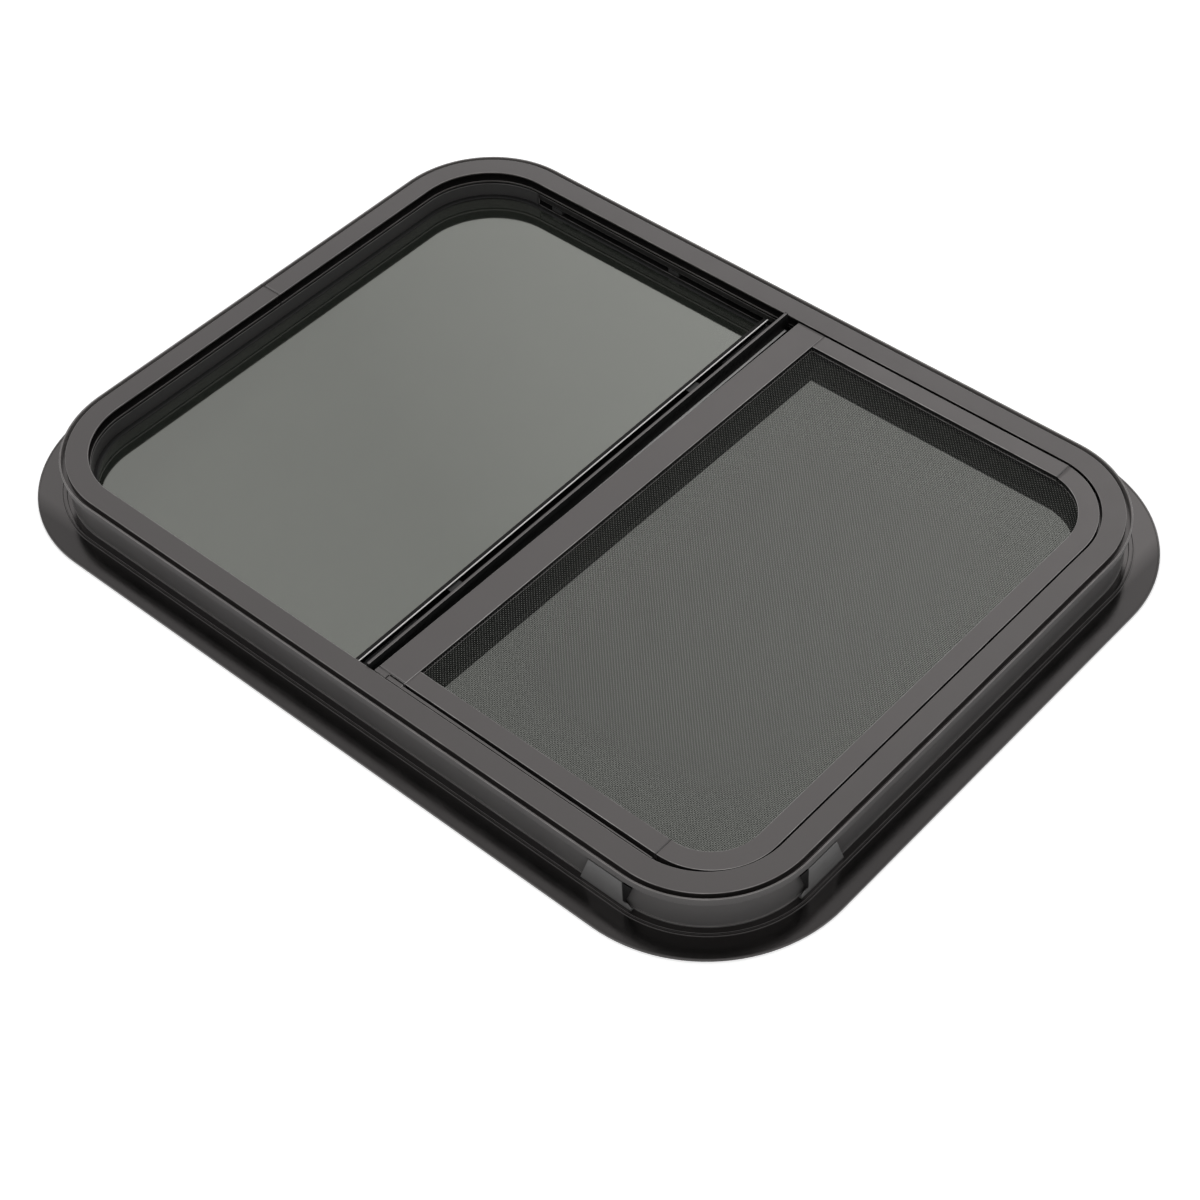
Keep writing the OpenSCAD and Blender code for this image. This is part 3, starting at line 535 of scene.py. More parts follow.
def make_pull_stile():
    """The stile's base, with its channel, and the tall blade that the hand pulls.

    The ledge and the bead of the base have the second finish, a near-white coat that paints a highlight line
    on them. The blade has its first finish on the top and the second, a darker copy of the black coat painted
    as shade, on its sides.
    """
    left, near, far = BLADE_X - STILE_REACH, BLADE_X - BLADE_T / 2, BLADE_X + BLADE_T / 2
    wall, fork, ledge = left + STILE_T, far + FORK_DEPTH, far + LEDGE_WIDTH
    bead, lip = wall + BEAD_REACH, OUTER_LIP_Z - BEAD_STEP
    under, over = SLIDE_PANE_Z - PLAY, SLIDE_PANE_TOP + PLAY
    blade_foot = STILE_FLOOR + BLADE_BITE
    base = [(left, SLIDE_PANE_Z), (near, SLIDE_PANE_Z), (near, SLIDE_PANE_Z - STILE_T),
            (fork, SLIDE_PANE_Z - STILE_T), (fork, under), (far, under), (far, over), (fork, over),
            (fork, over + STILE_T), (ledge, over + STILE_T), (ledge, LEDGE_Z), (BLADE_X, LEDGE_Z),
            (BLADE_X, blade_foot), (near, blade_foot), (near, SLIDE_PANE_Z + STILE_T),
            (wall, SLIDE_PANE_Z + STILE_T), (wall, STEP_LIP_Z - STILE_T),
            (wall + STEP_WIDTH, STEP_LIP_Z - STILE_T), (wall + STEP_WIDTH, STEP_LIP_Z), (wall, STEP_LIP_Z),
            (wall, OUTER_LIP_Z - BEAD_T), (bead, OUTER_LIP_Z - BEAD_T), (bead, OUTER_LIP_Z),
            (bead - BEAD_WIDTH, OUTER_LIP_Z), (bead - BEAD_WIDTH - BEAD_SLOPE, lip), (left, lip)]
    # Painted highlight: the ledge and the bead get a near-white coat that paints a thin bright line
    highlit = [int(corner in ((ledge, LEDGE_Z), (bead, OUTER_LIP_Z))) for corner in base]
    base_piece = bar("pull_stile_base", base, -STILE_LENGTH / 2, STILE_LENGTH / 2, FILLET_R,
                     settled=True, slots=highlit)
    chamfer_x, chamfer_z = BLADE_CHAMFER
    blade = [(near, STILE_FLOOR), (far, STILE_FLOOR), (far, BLADE_TOP - chamfer_z),
             (far - chamfer_x, BLADE_TOP), (near, BLADE_TOP)]
    blade_piece = bar("pull_blade", blade, -BLADE_LENGTH / 2, BLADE_LENGTH / 2, BLADE_RADII,
                      settled=True, slots=[1, 1, 1, 0, 1])
    return [base_piece, blade_piece]


# The insect screen

def member_corners(outer, inner, toe, foot):
    """Outline of a screen member between its outer and inner edge, with a toe under the ring."""
    s = 1 if inner > outer else -1
    return [(outer - s * toe, SCREEN_FLOOR), (outer + s * foot, SCREEN_FLOOR),
            (outer + s * foot, SCREEN_FLOOR + SCREEN_T), (outer + s * SCREEN_T, SCREEN_FLOOR + SCREEN_T),
            (outer + s * SCREEN_T, GROOVE_Z - SCREEN_T), (inner, GROOVE_Z - SCREEN_T), (inner, GROOVE_Z),
            (outer + s * SCREEN_T, GROOVE_Z), (outer + s * SCREEN_T, RING_TOP - SCREEN_T),
            (inner - s * SCREEN_T, RING_TOP - SCREEN_T), (inner - s * SCREEN_T, MESH_TOP), (inner, MESH_TOP),
            (inner, RING_TOP), (outer, RING_TOP), (outer, SCREEN_FLOOR + SCREEN_T),
            (outer - s * toe, SCREEN_FLOOR + SCREEN_T)]


def rail_corners(outer, inner, toe):
    """Outline of a rail or the curve, whose foot is as narrow as its wall is thick.

    The two corners of the wider foot fall away.
    """
    outline = member_corners(outer, inner, toe, SCREEN_T)
    return outline[:2] + outline[4:]


def shaded_inner_slots(outline, inner):
    """Slot of each corner: one for the inner face above the mesh, which gets less light and so a darker coat
    as painted shade, else nought.
    """
    return [int(corner == (inner, MESH_TOP)) for corner in outline]


def make_screen_members():
    """Left stile, two straight rails, the curved member round the right end and the filler strip."""
    stile = member_corners(SCREEN_X, STILE_RIGHT, 0.0, STILE_FOOT)
    stile = stile[:stile.index((SCREEN_X, RING_TOP)) + 1]
    pieces = [bar("screen_left_stile", stile, SCREEN_NEAR, SCREEN_FAR, SCREEN_EDGE_R,
                  slots=shaded_inner_slots(stile, STILE_RIGHT))]
    start, end = STILE_RIGHT + SEAM, CURVE_X - SEAM
    for name, outer, inner, toe in (
            ("screen_top_rail", SCREEN_FAR, SCREEN_FAR - SCREEN_RAIL_W, TOE - SCREEN_T),
            ("screen_bottom_rail", SCREEN_NEAR, SCREEN_NEAR + SCREEN_RAIL_W, FILLER_WIDTH + TOE)):
        rail = rail_corners(outer, inner, toe)
        pieces.append(bar(name, rail, start, end, SCREEN_EDGE_R, along="x", slots=shaded_inner_slots(rail, inner)))
    pieces.append(make_screen_curve())
    root = -INNER_Y + PLAY
    filler = box_corners(root, -INNER_Y + FILLER_WIDTH, RING_TOP - SCREEN_T, RING_TOP)
    strip = bar("screen_filler_strip", filler, start, end + SEAM, FILLER_R, along="x")
    pieces.append(narrowed(strip, start, end, root))
    return pieces


def narrowed(piece, start, end, root):
    """Strip along x that gets narrower towards the curved member.

    Each point's distance from the root line is multiplied by a share, which goes in a straight line
    from the first of FILLER_SHARE at the start to the second at the end.
    """
    points = np.empty(3 * len(piece.data.vertices))
    piece.data.vertices.foreach_get("co", points)
    points = points.reshape(-1, 3)
    share = np.interp(points[:, 0], [start * MM, end * MM], FILLER_SHARE)
    points[:, 1] = root * MM + (points[:, 1] - root * MM) * share
    piece.data.vertices.foreach_set("co", points.ravel())
    piece.data.update()
    return piece


def make_stile_end():
    """Near end of the left stile, which a slit parts into a neck and a tongue.

    Both are all but sharp where they meet.
    """
    foot, neck_end = SCREEN_X + STILE_FOOT, STILE_RIGHT - SLIT_LENGTH
    top, start = RING_TOP - SCREEN_T, -INNER_Y + PLAY
    neck = [(SCREEN_X, SCREEN_FLOOR), (foot, SCREEN_FLOOR), (foot, SCREEN_FLOOR + SCREEN_T),
            (SCREEN_X + SCREEN_T, SCREEN_FLOOR + SCREEN_T), (SCREEN_X + SCREEN_T, top), (neck_end, top),
            (neck_end, RING_TOP), (SCREEN_X, RING_TOP)]
    tongue = box_corners(neck_end - TONGUE_ROOT, STILE_RIGHT, top, RING_TOP)
    neck_radii = [CURVE_EDGE_R] * 5 + [CUT_R] * 2 + [CURVE_EDGE_R]
    tongue_radii = [CUT_R, FILLET_R, FILLET_R, CUT_R]
    return [bar("screen_stile_neck", neck, start, SCREEN_NEAR, neck_radii),
            bar("screen_stile_tongue", tongue, start, SCREEN_NEAR - SLIT_WIDTH, tongue_radii)]


def make_screen_curve():
    """Curved member, tighter round its near corner, with both ends cut square at the seams.

    The far arc ends where it passes the seam, and a short straight leads to the near arc.
    """
    outline = rail_corners(0.0, SCREEN_RAIL_W, TOE)
    profile, edge = rounded_profile(outline, CURVE_EDGE_R)
    depth, radius = -profile[:, 0], SCREEN_R - profile[:, 0]
    half = (SCREEN_RIGHT, SCREEN_HALF)
    near = corner_arc(3, depth, SCREEN_NEAR_R - profile[:, 0], centre_y=SCREEN_MID, half=half)
    square_end = near[:1] * [0, 1] + [CURVE_X, 0]
    past = np.arcsin((CURVE_X - (SCREEN_RIGHT - SCREEN_R)) / radius) / (np.pi / 2)
    last = corner_arc(0, depth, radius, end=1 - past, centre_y=SCREEN_MID, half=half)
    path = with_stations(np.concatenate([square_end, near, last]))
    slots = np.repeat(shaded_inner_slots(outline, SCREEN_RAIL_W), FILLET_STEPS + 1)
    return sweep("screen_curved_member", path, profile[:, 1], edge, slots=slots)


def threads(first, last, across):
    """Straight threads: at each end of a thread a small circle, centre + r cos a across + r sin a up."""
    angle = np.arange(THREAD_SIDES) * 2 * np.pi / THREAD_SIDES
    circle = THREAD_R * (np.cos(angle)[:, None] * across + np.sin(angle)[:, None] * np.array([0, 0, 1]))
    points = np.stack([first[:, None] + circle, last[:, None] + circle], 1)
    j = np.arange(THREAD_SIDES)[None]
    j2 = (j + 1) % THREAD_SIDES
    base = (np.arange(len(first)) * 2 * THREAD_SIDES)[:, None]
    end = base + THREAD_SIDES
    quads = np.stack([base + j, end + j, end + j2, base + j2], -1).reshape(-1, 4)
    caps = list(base + j[:, ::-1]) + list(end + j)
    return points.reshape(-1, 3), quads, caps


def make_mesh_cloth():
    """Woven screen cloth: two layers of round threads, each cut at the rounded outline of the screen.

    Inside a corner of radius r the outline stands back by r less the root of r squared less the
    square of the way into the corner.
    """
    right, half = SCREEN_RIGHT - CLOTH_INSET, CLOTH_HALF
    far_r, near_r = SCREEN_R - CLOTH_INSET, SCREEN_NEAR_R - CLOTH_INSET
    y = np.arange(-half + THREAD_PITCH / 2, half, THREAD_PITCH)
    x = np.arange(CLOTH_LEFT + THREAD_PITCH / 2, right, THREAD_PITCH)
    row_r = np.where(y < 0, near_r, far_r)
    into_y = np.clip(np.abs(y) - (half - row_r), 0, row_r)
    stop = right - row_r + np.sqrt(row_r ** 2 - into_y ** 2)
    far_reach, near_reach = (half - r + np.sqrt(r * r - np.clip(x - (right - r), 0, r) ** 2)
                             for r in (far_r, near_r))
    z, rise = MESH_Z + MESH_T / 2, THREAD_R * LAYER_SHARE
    low, high = np.full_like(y, z - rise), np.full_like(x, z + rise)
    along_x = threads(np.stack([np.full_like(y, CLOTH_LEFT), y + SCREEN_MID, low], -1),
                      np.stack([stop, y + SCREEN_MID, low], -1), np.array([0, 1, 0]))
    along_y = threads(np.stack([x, SCREEN_MID - near_reach, high], -1),
                      np.stack([x, SCREEN_MID + far_reach, high], -1), np.array([1, 0, 0]))
    shift = len(along_x[0])
    points = np.concatenate([along_x[0], along_y[0]])
    quads = np.concatenate([along_x[1], along_y[1][:, ::-1] + shift])
    caps = along_x[2] + [f[::-1] + shift for f in along_y[2]]
    layer = np.repeat([0, 1], [len(along_x[1]), len(along_y[1])])
    return make_object("insect_mesh", points, quads, caps, slots=layer, smooth=False)


# Finishes

def node_material(name):
    """A node material, with its tree and its shader."""
    material = bpy.data.materials.new(name)
    material.use_nodes = True
    tree = material.node_tree
    return material, tree, tree.nodes["Principled BSDF"]


def object_place(tree):
    """Object coordinates, in which one unit is a metre."""
    return tree.nodes.new("ShaderNodeTexCoord").outputs["Object"]


def split_place(tree):
    """The x, y and z of the Object coordinates."""
    parts = tree.nodes.new("ShaderNodeSeparateXYZ")
    tree.links.new(object_place(tree), parts.inputs["Vector"])
    return parts.outputs


def worked(tree, kind, operation, *values):
    """A maths node; each value for its inputs is an output or plain."""
    node = tree.nodes.new(kind)
    node.operation = operation
    for socket, value in zip(node.inputs, values):
        if isinstance(value, bpy.types.NodeSocket):
            tree.links.new(value, socket)
        else:
            socket.default_value = value
    return node


def grain(tree, scale, detail=GRAIN_DETAIL):
    """Noise over the Object coordinates."""
    noise = tree.nodes.new("ShaderNodeTexNoise")
    noise.inputs["Scale"].default_value = scale
    noise.inputs["Detail"].default_value = detail
    noise.inputs["Roughness"].default_value = GRAIN_ROUGHNESS
    tree.links.new(object_place(tree), noise.inputs["Vector"])
    return noise.outputs["Fac"]


def spread(tree, value, low=0.0, high=1.0, source=GRAIN_RANGE):
    """A value carried from its source range to the one from low to high, and kept inside it."""
    node = tree.nodes.new("ShaderNodeMapRange")
    node.inputs["From Min"].default_value, node.inputs["From Max"].default_value = source
    node.inputs["To Min"].default_value = low
    node.inputs["To Max"].default_value = high
    tree.links.new(value, node.inputs["Value"])
    return node.outputs["Result"]


def mixed(tree, share, first, second):
    """Two colours mixed by a share; either may be a plain colour or an output."""
    node = tree.nodes.new("ShaderNodeMix")
    node.data_type = "RGBA"
    tree.links.new(share, node.inputs["Factor"])
    for socket, colour in ((node.inputs["A"], first), (node.inputs["B"], second)):
        if isinstance(colour, bpy.types.NodeSocket):
            tree.links.new(colour, socket)
        else:
            socket.default_value = (*colour, 1.0)
    return node.outputs["Result"]


def tinged(tree, shader, share, first, second):
    """The shader's colour, mixed by a share."""
    tree.links.new(mixed(tree, share, first, second), shader.inputs["Base Color"])


def roughened(tree, shader, value, middle, swing):
    """Roughness that follows a value, from the middle less the swing to the middle plus the swing."""
    tree.links.new(spread(tree, value, middle - swing, middle + swing), shader.inputs["Roughness"])


def bumped(tree, shader, value, depth, distance):
    """A bump from a value, on the shader's normal."""
    bump = tree.nodes.new("ShaderNodeBump")
    bump.inputs["Strength"].default_value = depth
    bump.inputs["Distance"].default_value = distance
    tree.links.new(value, bump.inputs["Height"])
    tree.links.new(bump.outputs["Normal"], shader.inputs["Normal"])


def coated_metal(name, dark, light, rough, ior, depth=FINE_DEPTH, edge_highlight=COAT_EDGE_HIGHLIGHT):
    """Glossy coated aluminium: cloudy tone, fine grain, and a paler line along rounded edges, in patches,
    which is a painted highlight.
    """
    material, tree, shader = node_material(name)
    tone = mixed(tree, spread(tree, grain(tree, CLOUD_SCALE, detail=3.0)), dark, light)
    # Painted highlight: the colour is lightened along rounded edges, in patches
    rounded_share = tree.nodes.new("ShaderNodeAttribute")
    rounded_share.attribute_name = "edge"
    highlight_patches = spread(tree, grain(tree, EDGE_HIGHLIGHT_SCALE, detail=5.0), *EDGE_HIGHLIGHT_RANGE)
    highlight_share = worked(tree, "ShaderNodeMath", "MULTIPLY", rounded_share.outputs["Fac"], highlight_patches)
    tinged(tree, shader, highlight_share.outputs["Value"], tone, edge_highlight)
    roughened(tree, shader, grain(tree, COAT_SMEAR_SCALE, detail=6.0), rough, COAT_SWING)
    shader.inputs["IOR"].default_value = ior
    shader.inputs["Specular Tint"].default_value = COAT_TINT
    bumped(tree, shader, grain(tree, COAT_GRAIN_SCALE, detail=2.0), depth, FINE_HEIGHT)
    return material


def tinted_glass(name, dark, light):
    """Dark safety glass: reflects at its faces and lets little light through."""
    material, tree, shader = node_material(name)
    tinged(tree, shader, spread(tree, grain(tree, GLASS_CLOUD_SCALE, detail=5.0)), dark, light)
    smear = spread(tree, grain(tree, GLASS_SMEAR_SCALE, detail=6.0), *GLASS_ROUGH)
    tree.links.new(smear, shader.inputs["Roughness"])
    shader.inputs["Transmission Weight"].default_value = 1.0
    shader.inputs["IOR"].default_value = GLASS_IOR
    shader.inputs["Specular Tint"].default_value = GLASS_TINT
    gentle = grain(tree, GLASS_WAVE_SCALE, detail=1.0)
    bumped(tree, shader, gentle, GLASS_WAVE_DEPTH, GLASS_WAVE_HEIGHT)
    return material


def soft_black(name, dark, light, rough, scale, depth, sheen=0.0):
    """Rubber, pile or moulded plastic: near black, with a fine surface."""
    material, tree, shader = node_material(name)
    fine = grain(tree, scale)
    tinged(tree, shader, spread(tree, fine), dark, light)
    roughened(tree, shader, grain(tree, SOFT_SMEAR_SCALE), rough, SOFT_SWING)
    shader.inputs["Specular IOR Level"].default_value = SOFT_SHINE
    shader.inputs["Sheen Weight"].default_value = sheen
    bumped(tree, shader, fine, depth, SOFT_HEIGHT)
    return material


def bright_metal(name, tone, rough):
    """Brushed metal: grain drawn out along one way, with small changes of shine."""
    material, tree, shader = node_material(name)
    stretch = tree.nodes.new("ShaderNodeMapping")
    stretch.inputs["Scale"].default_value = BRUSH_STRETCH
    tree.links.new(object_place(tree), stretch.inputs["Vector"])
    lines = tree.nodes.new("ShaderNodeTexNoise")
    lines.inputs["Scale"].default_value = BRUSH_SCALE
    tree.links.new(stretch.outputs["Vector"], lines.inputs["Vector"])
    brushed = lines.outputs["Fac"]
    lighter = tuple(min(1.0, c * BRUSH_LIGHTER) for c in tone)
    tinged(tree, shader, spread(tree, brushed), tone, lighter)
    roughened(tree, shader, brushed, rough, BRUSH_SWING)
    shader.inputs["Metallic"].default_value = BRUSH_METAL
    bumped(tree, shader, brushed, FINE_DEPTH, FINE_HEIGHT)
    return material


def sheltered(material):
    """Painted shade: less shine where the flange lies under the near and right walls, which keep the sky from
    it.

    The length of (x - centre x, centre y - y), with what is under nought set to nought, passes the
    corner's radius there; the centre is that of the near right corner.
    """
    tree = material.node_tree
    centre = ((SHELTER_R - SHELTER_X) * MM, (SHELTER_R - SHELTER_Y) * MM, 0.0)
    away = worked(tree, "ShaderNodeVectorMath", "MULTIPLY_ADD", object_place(tree), (1.0, -1.0, 0.0), centre)
    kept = worked(tree, "ShaderNodeVectorMath", "MAXIMUM", away.outputs["Vector"])
    reach = worked(tree, "ShaderNodeVectorMath", "LENGTH", kept.outputs["Vector"])
    fade = [(SHELTER_R + step) * MM for step in SHELTER_EDGE]
    share = spread(tree, reach.outputs["Value"], *SHELTER_SHINE, fade)
    tree.links.new(share, tree.nodes["Principled BSDF"].inputs["Specular IOR Level"])
    return material


def painted_clip_shadow(material):
    """Clip metal with a painted shadow: black where the spring's end turns into the channel, beside the near
    corner, for the dark gap between the clip's end and the wall.

    A point is in the painted shadow where x - y passes CLIP_END and z passes CLIP_FOOT.
    """
    tree = material.node_tree
    colour = tree.nodes["Principled BSDF"].inputs["Base Color"]
    x, y, z = split_place(tree)
    along = worked(tree, "ShaderNodeMath", "SUBTRACT", x, y).outputs[0]
    past = [spread(tree, value, source=((edge - CLIP_FADE) * MM, (edge + CLIP_FADE) * MM))
            for value, edge in ((along, CLIP_END), (z, CLIP_FOOT))]
    both = worked(tree, "ShaderNodeMath", "MULTIPLY", *past).outputs[0]
    tree.links.new(mixed(tree, both, colour.links[0].from_socket, CLIP_SHADOW), colour)
    return material


def wave(tree, value, first):
    """Cosine of pi times the distance past the first crossing over the pitch of the threads."""
    rate, offset = np.pi / (THREAD_PITCH * MM), -np.pi * first / THREAD_PITCH
    turn = worked(tree, "ShaderNodeMath", "MULTIPLY_ADD", value, rate, offset)
    return worked(tree, "ShaderNodeMath", "COSINE", turn.outputs[0]).outputs[0]


def woven_thread(name, light, sign):
    """Screen thread: dark, with a paler knot, a painted glint, wherever it passes over the other layer.

    The share of the knot follows sign * cos(pi (x - x0) / p) * cos(pi (y - y0) / p) with p the
    pitch, so the knots of one layer make a chequerboard and those of the other fill its gaps.
    """
    material, tree, shader = node_material(name)
    waves = [wave(tree, value, first) for value, first in zip(split_place(tree), FIRST_CROSSING)]
    both = worked(tree, "ShaderNodeMath", "MULTIPLY", *waves).outputs[0]
    knot_glint = spread(tree, both, source=[sign * edge for edge in KNOT_GLINT_RANGE])
    tinged(tree, shader, knot_glint, THREAD_BLACK, light)
    roughened(tree, shader, grain(tree, THREAD_GRAIN_SCALE), THREAD_ROUGH, THREAD_SWING)
    shader.inputs["IOR"].default_value = THREAD_IOR
    bumped(tree, shader, knot_glint, KNOT_DEPTH, FINE_HEIGHT)
    return material


# Each coated metal below has a painted highlight along its rounded edges
RING_COAT = coated_metal("ring_coat", (0.0075, 0.0072, 0.0070), (0.0105, 0.0101, 0.0098),
                         rough=0.33, ior=1.91)
FLANGE_COAT = sheltered(coated_metal("flange_coat", (0.0055, 0.0053, 0.0051), (0.0075, 0.0072, 0.007),
                                     rough=0.13, ior=1.90, edge_highlight=(0.10, 0.097, 0.096)))
# Painted light: the outer walls are the frame's black coat made far paler, for the white floor's reflection
# in them
WALL_LIT_COAT = coated_metal("wall_painted_light", (0.058, 0.056, 0.056), (0.070, 0.068, 0.067),
                         rough=0.5, ior=1.55, depth=0.03)
# Painted highlight: a pale coat for the bright line along the fin's inner top edge
FIN_HIGHLIGHT_COAT = coated_metal("fin_painted_highlight", (0.19, 0.180, 0.175), (0.25, 0.237, 0.230),
                        rough=0.5, ior=1.5, depth=0.03)
SCREEN_COAT = coated_metal("screen_coat", (0.011, 0.0103, 0.0102), (0.015, 0.0142, 0.0140),
                           rough=0.33, ior=1.95, edge_highlight=(0.7, 0.68, 0.67))
# Painted shade: a darker, duller copy of the black coat, for members deep in the channels and for the
# screen's inner faces
SHADED_COAT = coated_metal("channel_painted_shade", (0.005, 0.005, 0.005), (0.007, 0.007, 0.007),
                            rough=0.5, ior=1.25, edge_highlight=(0.02, 0.02, 0.02))
# Painted highlight: a near-white coat that paints thin bright lines on the pull stile
HIGHLIGHT_LINE_COAT = coated_metal("painted_highlight_line", (0.66, 0.65, 0.64), (0.82, 0.81, 0.80), rough=0.30, ior=1.6)
LINER_COAT = coated_metal("liner_coat", (0.026, 0.026, 0.026), (0.032, 0.032, 0.032), rough=0.5, ior=1.5)
TRACK_COAT = coated_metal("track_coat", (0.003, 0.003, 0.003), (0.005, 0.005, 0.005), rough=0.45, ior=1.38)
GLASS = tinted_glass("tinted_glass", (0.033, 0.037, 0.031), (0.037, 0.041, 0.034))
RUBBER = soft_black("seal_rubber", (0.008, 0.008, 0.008), (0.014, 0.014, 0.014),
                    rough=0.6, scale=900.0, depth=0.1)
PILE = soft_black("pile_strip", (0.006, 0.006, 0.006), (0.02, 0.02, 0.02),
                  rough=0.9, scale=3000.0, depth=0.6, sheen=0.3)
NYLON = soft_black("moulded_nylon", (0.02, 0.02, 0.02), (0.03, 0.03, 0.03),
                   rough=0.5, scale=1400.0, depth=0.1)
LATCH = bright_metal("latch_metal", (0.07, 0.07, 0.07), rough=0.4)
LATCH_DARK = bright_metal("latch_dark", (0.03, 0.03, 0.03), rough=0.5)
# Painted shadow: the clips' corner-facing ends are black
CLIP_METAL = painted_clip_shadow(bright_metal("clip_metal", (0.18, 0.178, 0.177), rough=0.45))
# Painted highlight: the second colour is the glint painted on each knot, bright on the warp and all but black
# on the weft
WEFT = woven_thread("weft_thread", (0.012, 0.012, 0.0115), -1)
WARP = woven_thread("warp_thread", (0.34, 0.34, 0.325), 1)


def dress(piece, *materials):
    """Give a piece its materials, in the order of its slots.

    An empty list isn't cleared, because that would set the slot of every face back to the first.
    """
    if len(piece.data.materials):
        piece.data.materials.clear()
    for material in materials:
        piece.data.materials.append(material)
    return piece


def stand_for(piece, slot, *nodes):
    """The piece rides on the window's one body and stands for the CAD nodes that it replaces."""
    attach(piece, "root")
    if nodes:
        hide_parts(*nodes)


extrusion = dress(make_frame(), FLANGE_COAT, RING_COAT, WALL_LIT_COAT, FIN_HIGHLIGHT_COAT)
stand_for(extrusion, "frame_black", "frame", "outer_shelf")
stand_for(dress(make_liner(), LINER_COAT), "frame_black", "side_liner")
track_nodes = (("far_track", "far_track_floor"), ("near_track", "near_track_floor"), ("end_track",))
for track, nodes in zip(make_tracks(), track_nodes):
    stand_for(dress(track, TRACK_COAT), "frame_black", *nodes)
stand_for(dress(make_seal(), RUBBER), "rubber_black", "glazing_seal")
stand_for(dress(make_meeting_bar(), SHADED_COAT), "frame_black", "meeting_bar")
stile_base, stile_blade = make_pull_stile()
stand_for(dress(stile_base, SHADED_COAT, HIGHLIGHT_LINE_COAT), "frame_black", "pull_stile")
stand_for(dress(stile_blade, SCREEN_COAT, SHADED_COAT), "frame_black")
screen_nodes = ("screen_stile", "screen_far_rail", "screen_near_rail", "screen_curve", "screen_filler")
for member, node in zip(make_screen_members(), screen_nodes):
    stand_for(dress(member, SCREEN_COAT, SHADED_COAT), "screen_black", node)
for member in make_stile_end():
    stand_for(dress(member, SCREEN_COAT), "screen_black")
cloth = dress(make_mesh_cloth(), WEFT, WARP)
cloth.visible_glossy = False
stand_for(cloth, "mesh_grey", "screen_mesh")

KEPT = {
    GLASS: ("fixed_pane", "slide_pane"),
    RUBBER: ("glazing_bed", "stile_wedge", "screen_spline"),
    PILE: ("meeting_pile", "far_pile", "near_pile", "end_pile"),
    NYLON: ("far_glide", "near_glide", "left_drain", "right_drain", "left_track_stop", "right_track_stop"),
    LATCH: ("far_latch_plate", "near_latch_plate"),
    LATCH_DARK: ("far_latch_clip", "near_latch_clip"),
    CLIP_METAL: ("near_channel_clip", "end_channel_clip"),
    TRACK_COAT: ("frame_splice",),
}
for material, names in KEPT.items():
    for name in names:
        dress(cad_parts[name], material)


# Floor, light and camera

def make_floor():
    """A wide pale floor that keeps the shadow and reads as white to the camera."""
    low, high = -FLOOR_HALF, FLOOR_HALF
    corners = [(low, low, 0), (high, low, 0), (high, high, 0), (low, high, 0)]
    mesh = bpy.data.meshes.new("floor")
    mesh.from_pydata(corners, [], [(0, 1, 2, 3)])
    floor = bpy.data.objects.new("floor", mesh)
    bpy.context.scene.collection.objects.link(floor)
    material = bpy.data.materials.new("floor_white")
    material.use_nodes = True
    tree = material.node_tree
    tree.nodes.clear()
    seen = direct_rays(tree, tree.nodes.new("ShaderNodeLightPath"))
    matt = tree.nodes.new("ShaderNodeBsdfDiffuse")
    matt.inputs["Color"].default_value = (FLOOR_TONE, FLOOR_TONE, FLOOR_TONE, 1)
    glow = tree.nodes.new("ShaderNodeEmission")
    lift = worked(tree, "ShaderNodeMath", "MULTIPLY", seen, FLOOR_GLOW)
    both = tree.nodes.new("ShaderNodeAddShader")
    out = tree.nodes.new("ShaderNodeOutputMaterial")
    tree.links.new(lift.outputs[0], glow.inputs["Strength"])
    tree.links.new(matt.outputs[0], both.inputs[0])
    tree.links.new(glow.outputs[0], both.inputs[1])
    tree.links.new(both.outputs[0], out.inputs["Surface"])
    floor.data.materials.append(material)


def direct_rays(tree, rays):
    """One where a ray comes from the camera, a gloss or through glass, and nought elsewhere."""
    value = rays.outputs["Is Camera Ray"]
    for name in ("Is Glossy Ray", "Is Transmission Ray"):
        value = worked(tree, "ShaderNodeMath", "MAXIMUM", value, rays.outputs[name]).outputs[0]
    return value


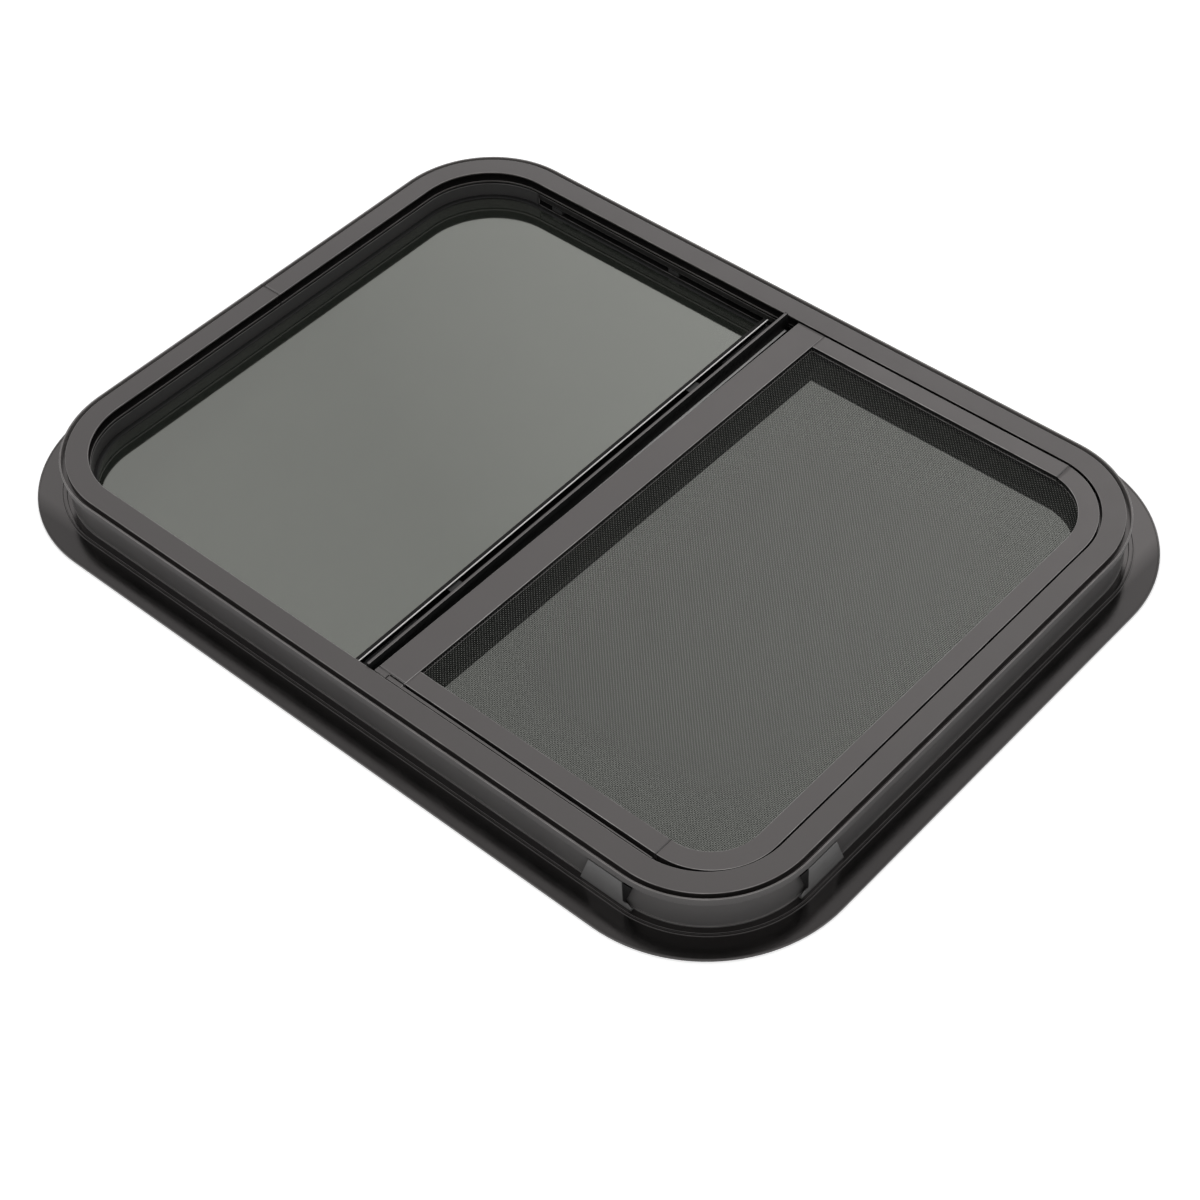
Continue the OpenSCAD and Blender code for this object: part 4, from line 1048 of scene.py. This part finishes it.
def make_lamp(name, sides, power, place, turn):
    """A large soft lamp that lights the part but isn't mirrored in it."""
    lamp = bpy.data.lights.new(name, "AREA")
    lamp.shape = "RECTANGLE"
    lamp.size, lamp.size_y = sides
    lamp.energy = power
    holder = bpy.data.objects.new(name, lamp)
    bpy.context.scene.collection.objects.link(holder)
    holder.location = place
    holder.rotation_euler = turn
    holder.visible_glossy = False


def make_light():
    """Even pale surroundings, a little brighter in gloss on the far side, and two large soft lamps."""
    world = bpy.data.worlds.new("studio")
    bpy.context.scene.world = world
    world.use_nodes = True
    tree = world.node_tree
    back = tree.nodes["Background"]
    rays = tree.nodes.new("ShaderNodeLightPath")
    strength = spread(tree, direct_rays(tree, rays), *ROOM_LEVELS, (0.0, 1.0))
    around = tree.nodes.new("ShaderNodeTexCoord").outputs["Generated"]
    facing = worked(tree, "ShaderNodeVectorMath", "DOT_PRODUCT", around, BRIGHT_SIDE)
    side = spread(tree, facing.outputs["Value"], *GLOSS_LEVELS, BRIGHT_EDGE)
    mirrored = tree.nodes.new("ShaderNodeMix")
    tree.links.new(rays.outputs["Is Glossy Ray"], mirrored.inputs["Factor"])
    tree.links.new(strength, mirrored.inputs["A"])
    tree.links.new(side, mirrored.inputs["B"])
    tree.links.new(mirrored.outputs["Result"], back.inputs["Strength"])
    back.inputs["Color"].default_value = (1, 1, 1, 1)
    make_lamp("softbox", sides=(2.4, 1.8), power=26.0, place=(-0.9, 1.1, 2.3), turn=(-0.42, -0.34, 0.0))
    make_lamp("front_fill", sides=(1.8, 0.9), power=15.0, place=(1.7, -1.9, 0.55),
              turn=(np.radians(78), 0.0, np.radians(42)))


def make_camera():
    """The camera of the photograph, found from lines fitted to the window's straight edges."""
    ahead = unit(np.array(CAMERA_AHEAD))
    right = unit(np.array(CAMERA_RIGHT))
    upward = np.cross(right, ahead)
    turn = np.eye(4)
    turn[:3, 0], turn[:3, 1], turn[:3, 2], turn[:3, 3] = right, upward, -ahead, CAMERA_PLACE
    lens = bpy.data.cameras.new("camera")
    lens.lens = LENS
    lens.sensor_width = SENSOR
    lens.clip_end = FAR_CLIP
    camera = bpy.data.objects.new("camera", lens)
    bpy.context.scene.collection.objects.link(camera)
    camera.matrix_world = Matrix(turn.tolist())
    bpy.context.scene.camera = camera


make_floor()
make_light()
make_camera()
bpy.context.scene.view_settings.view_transform = "Standard"
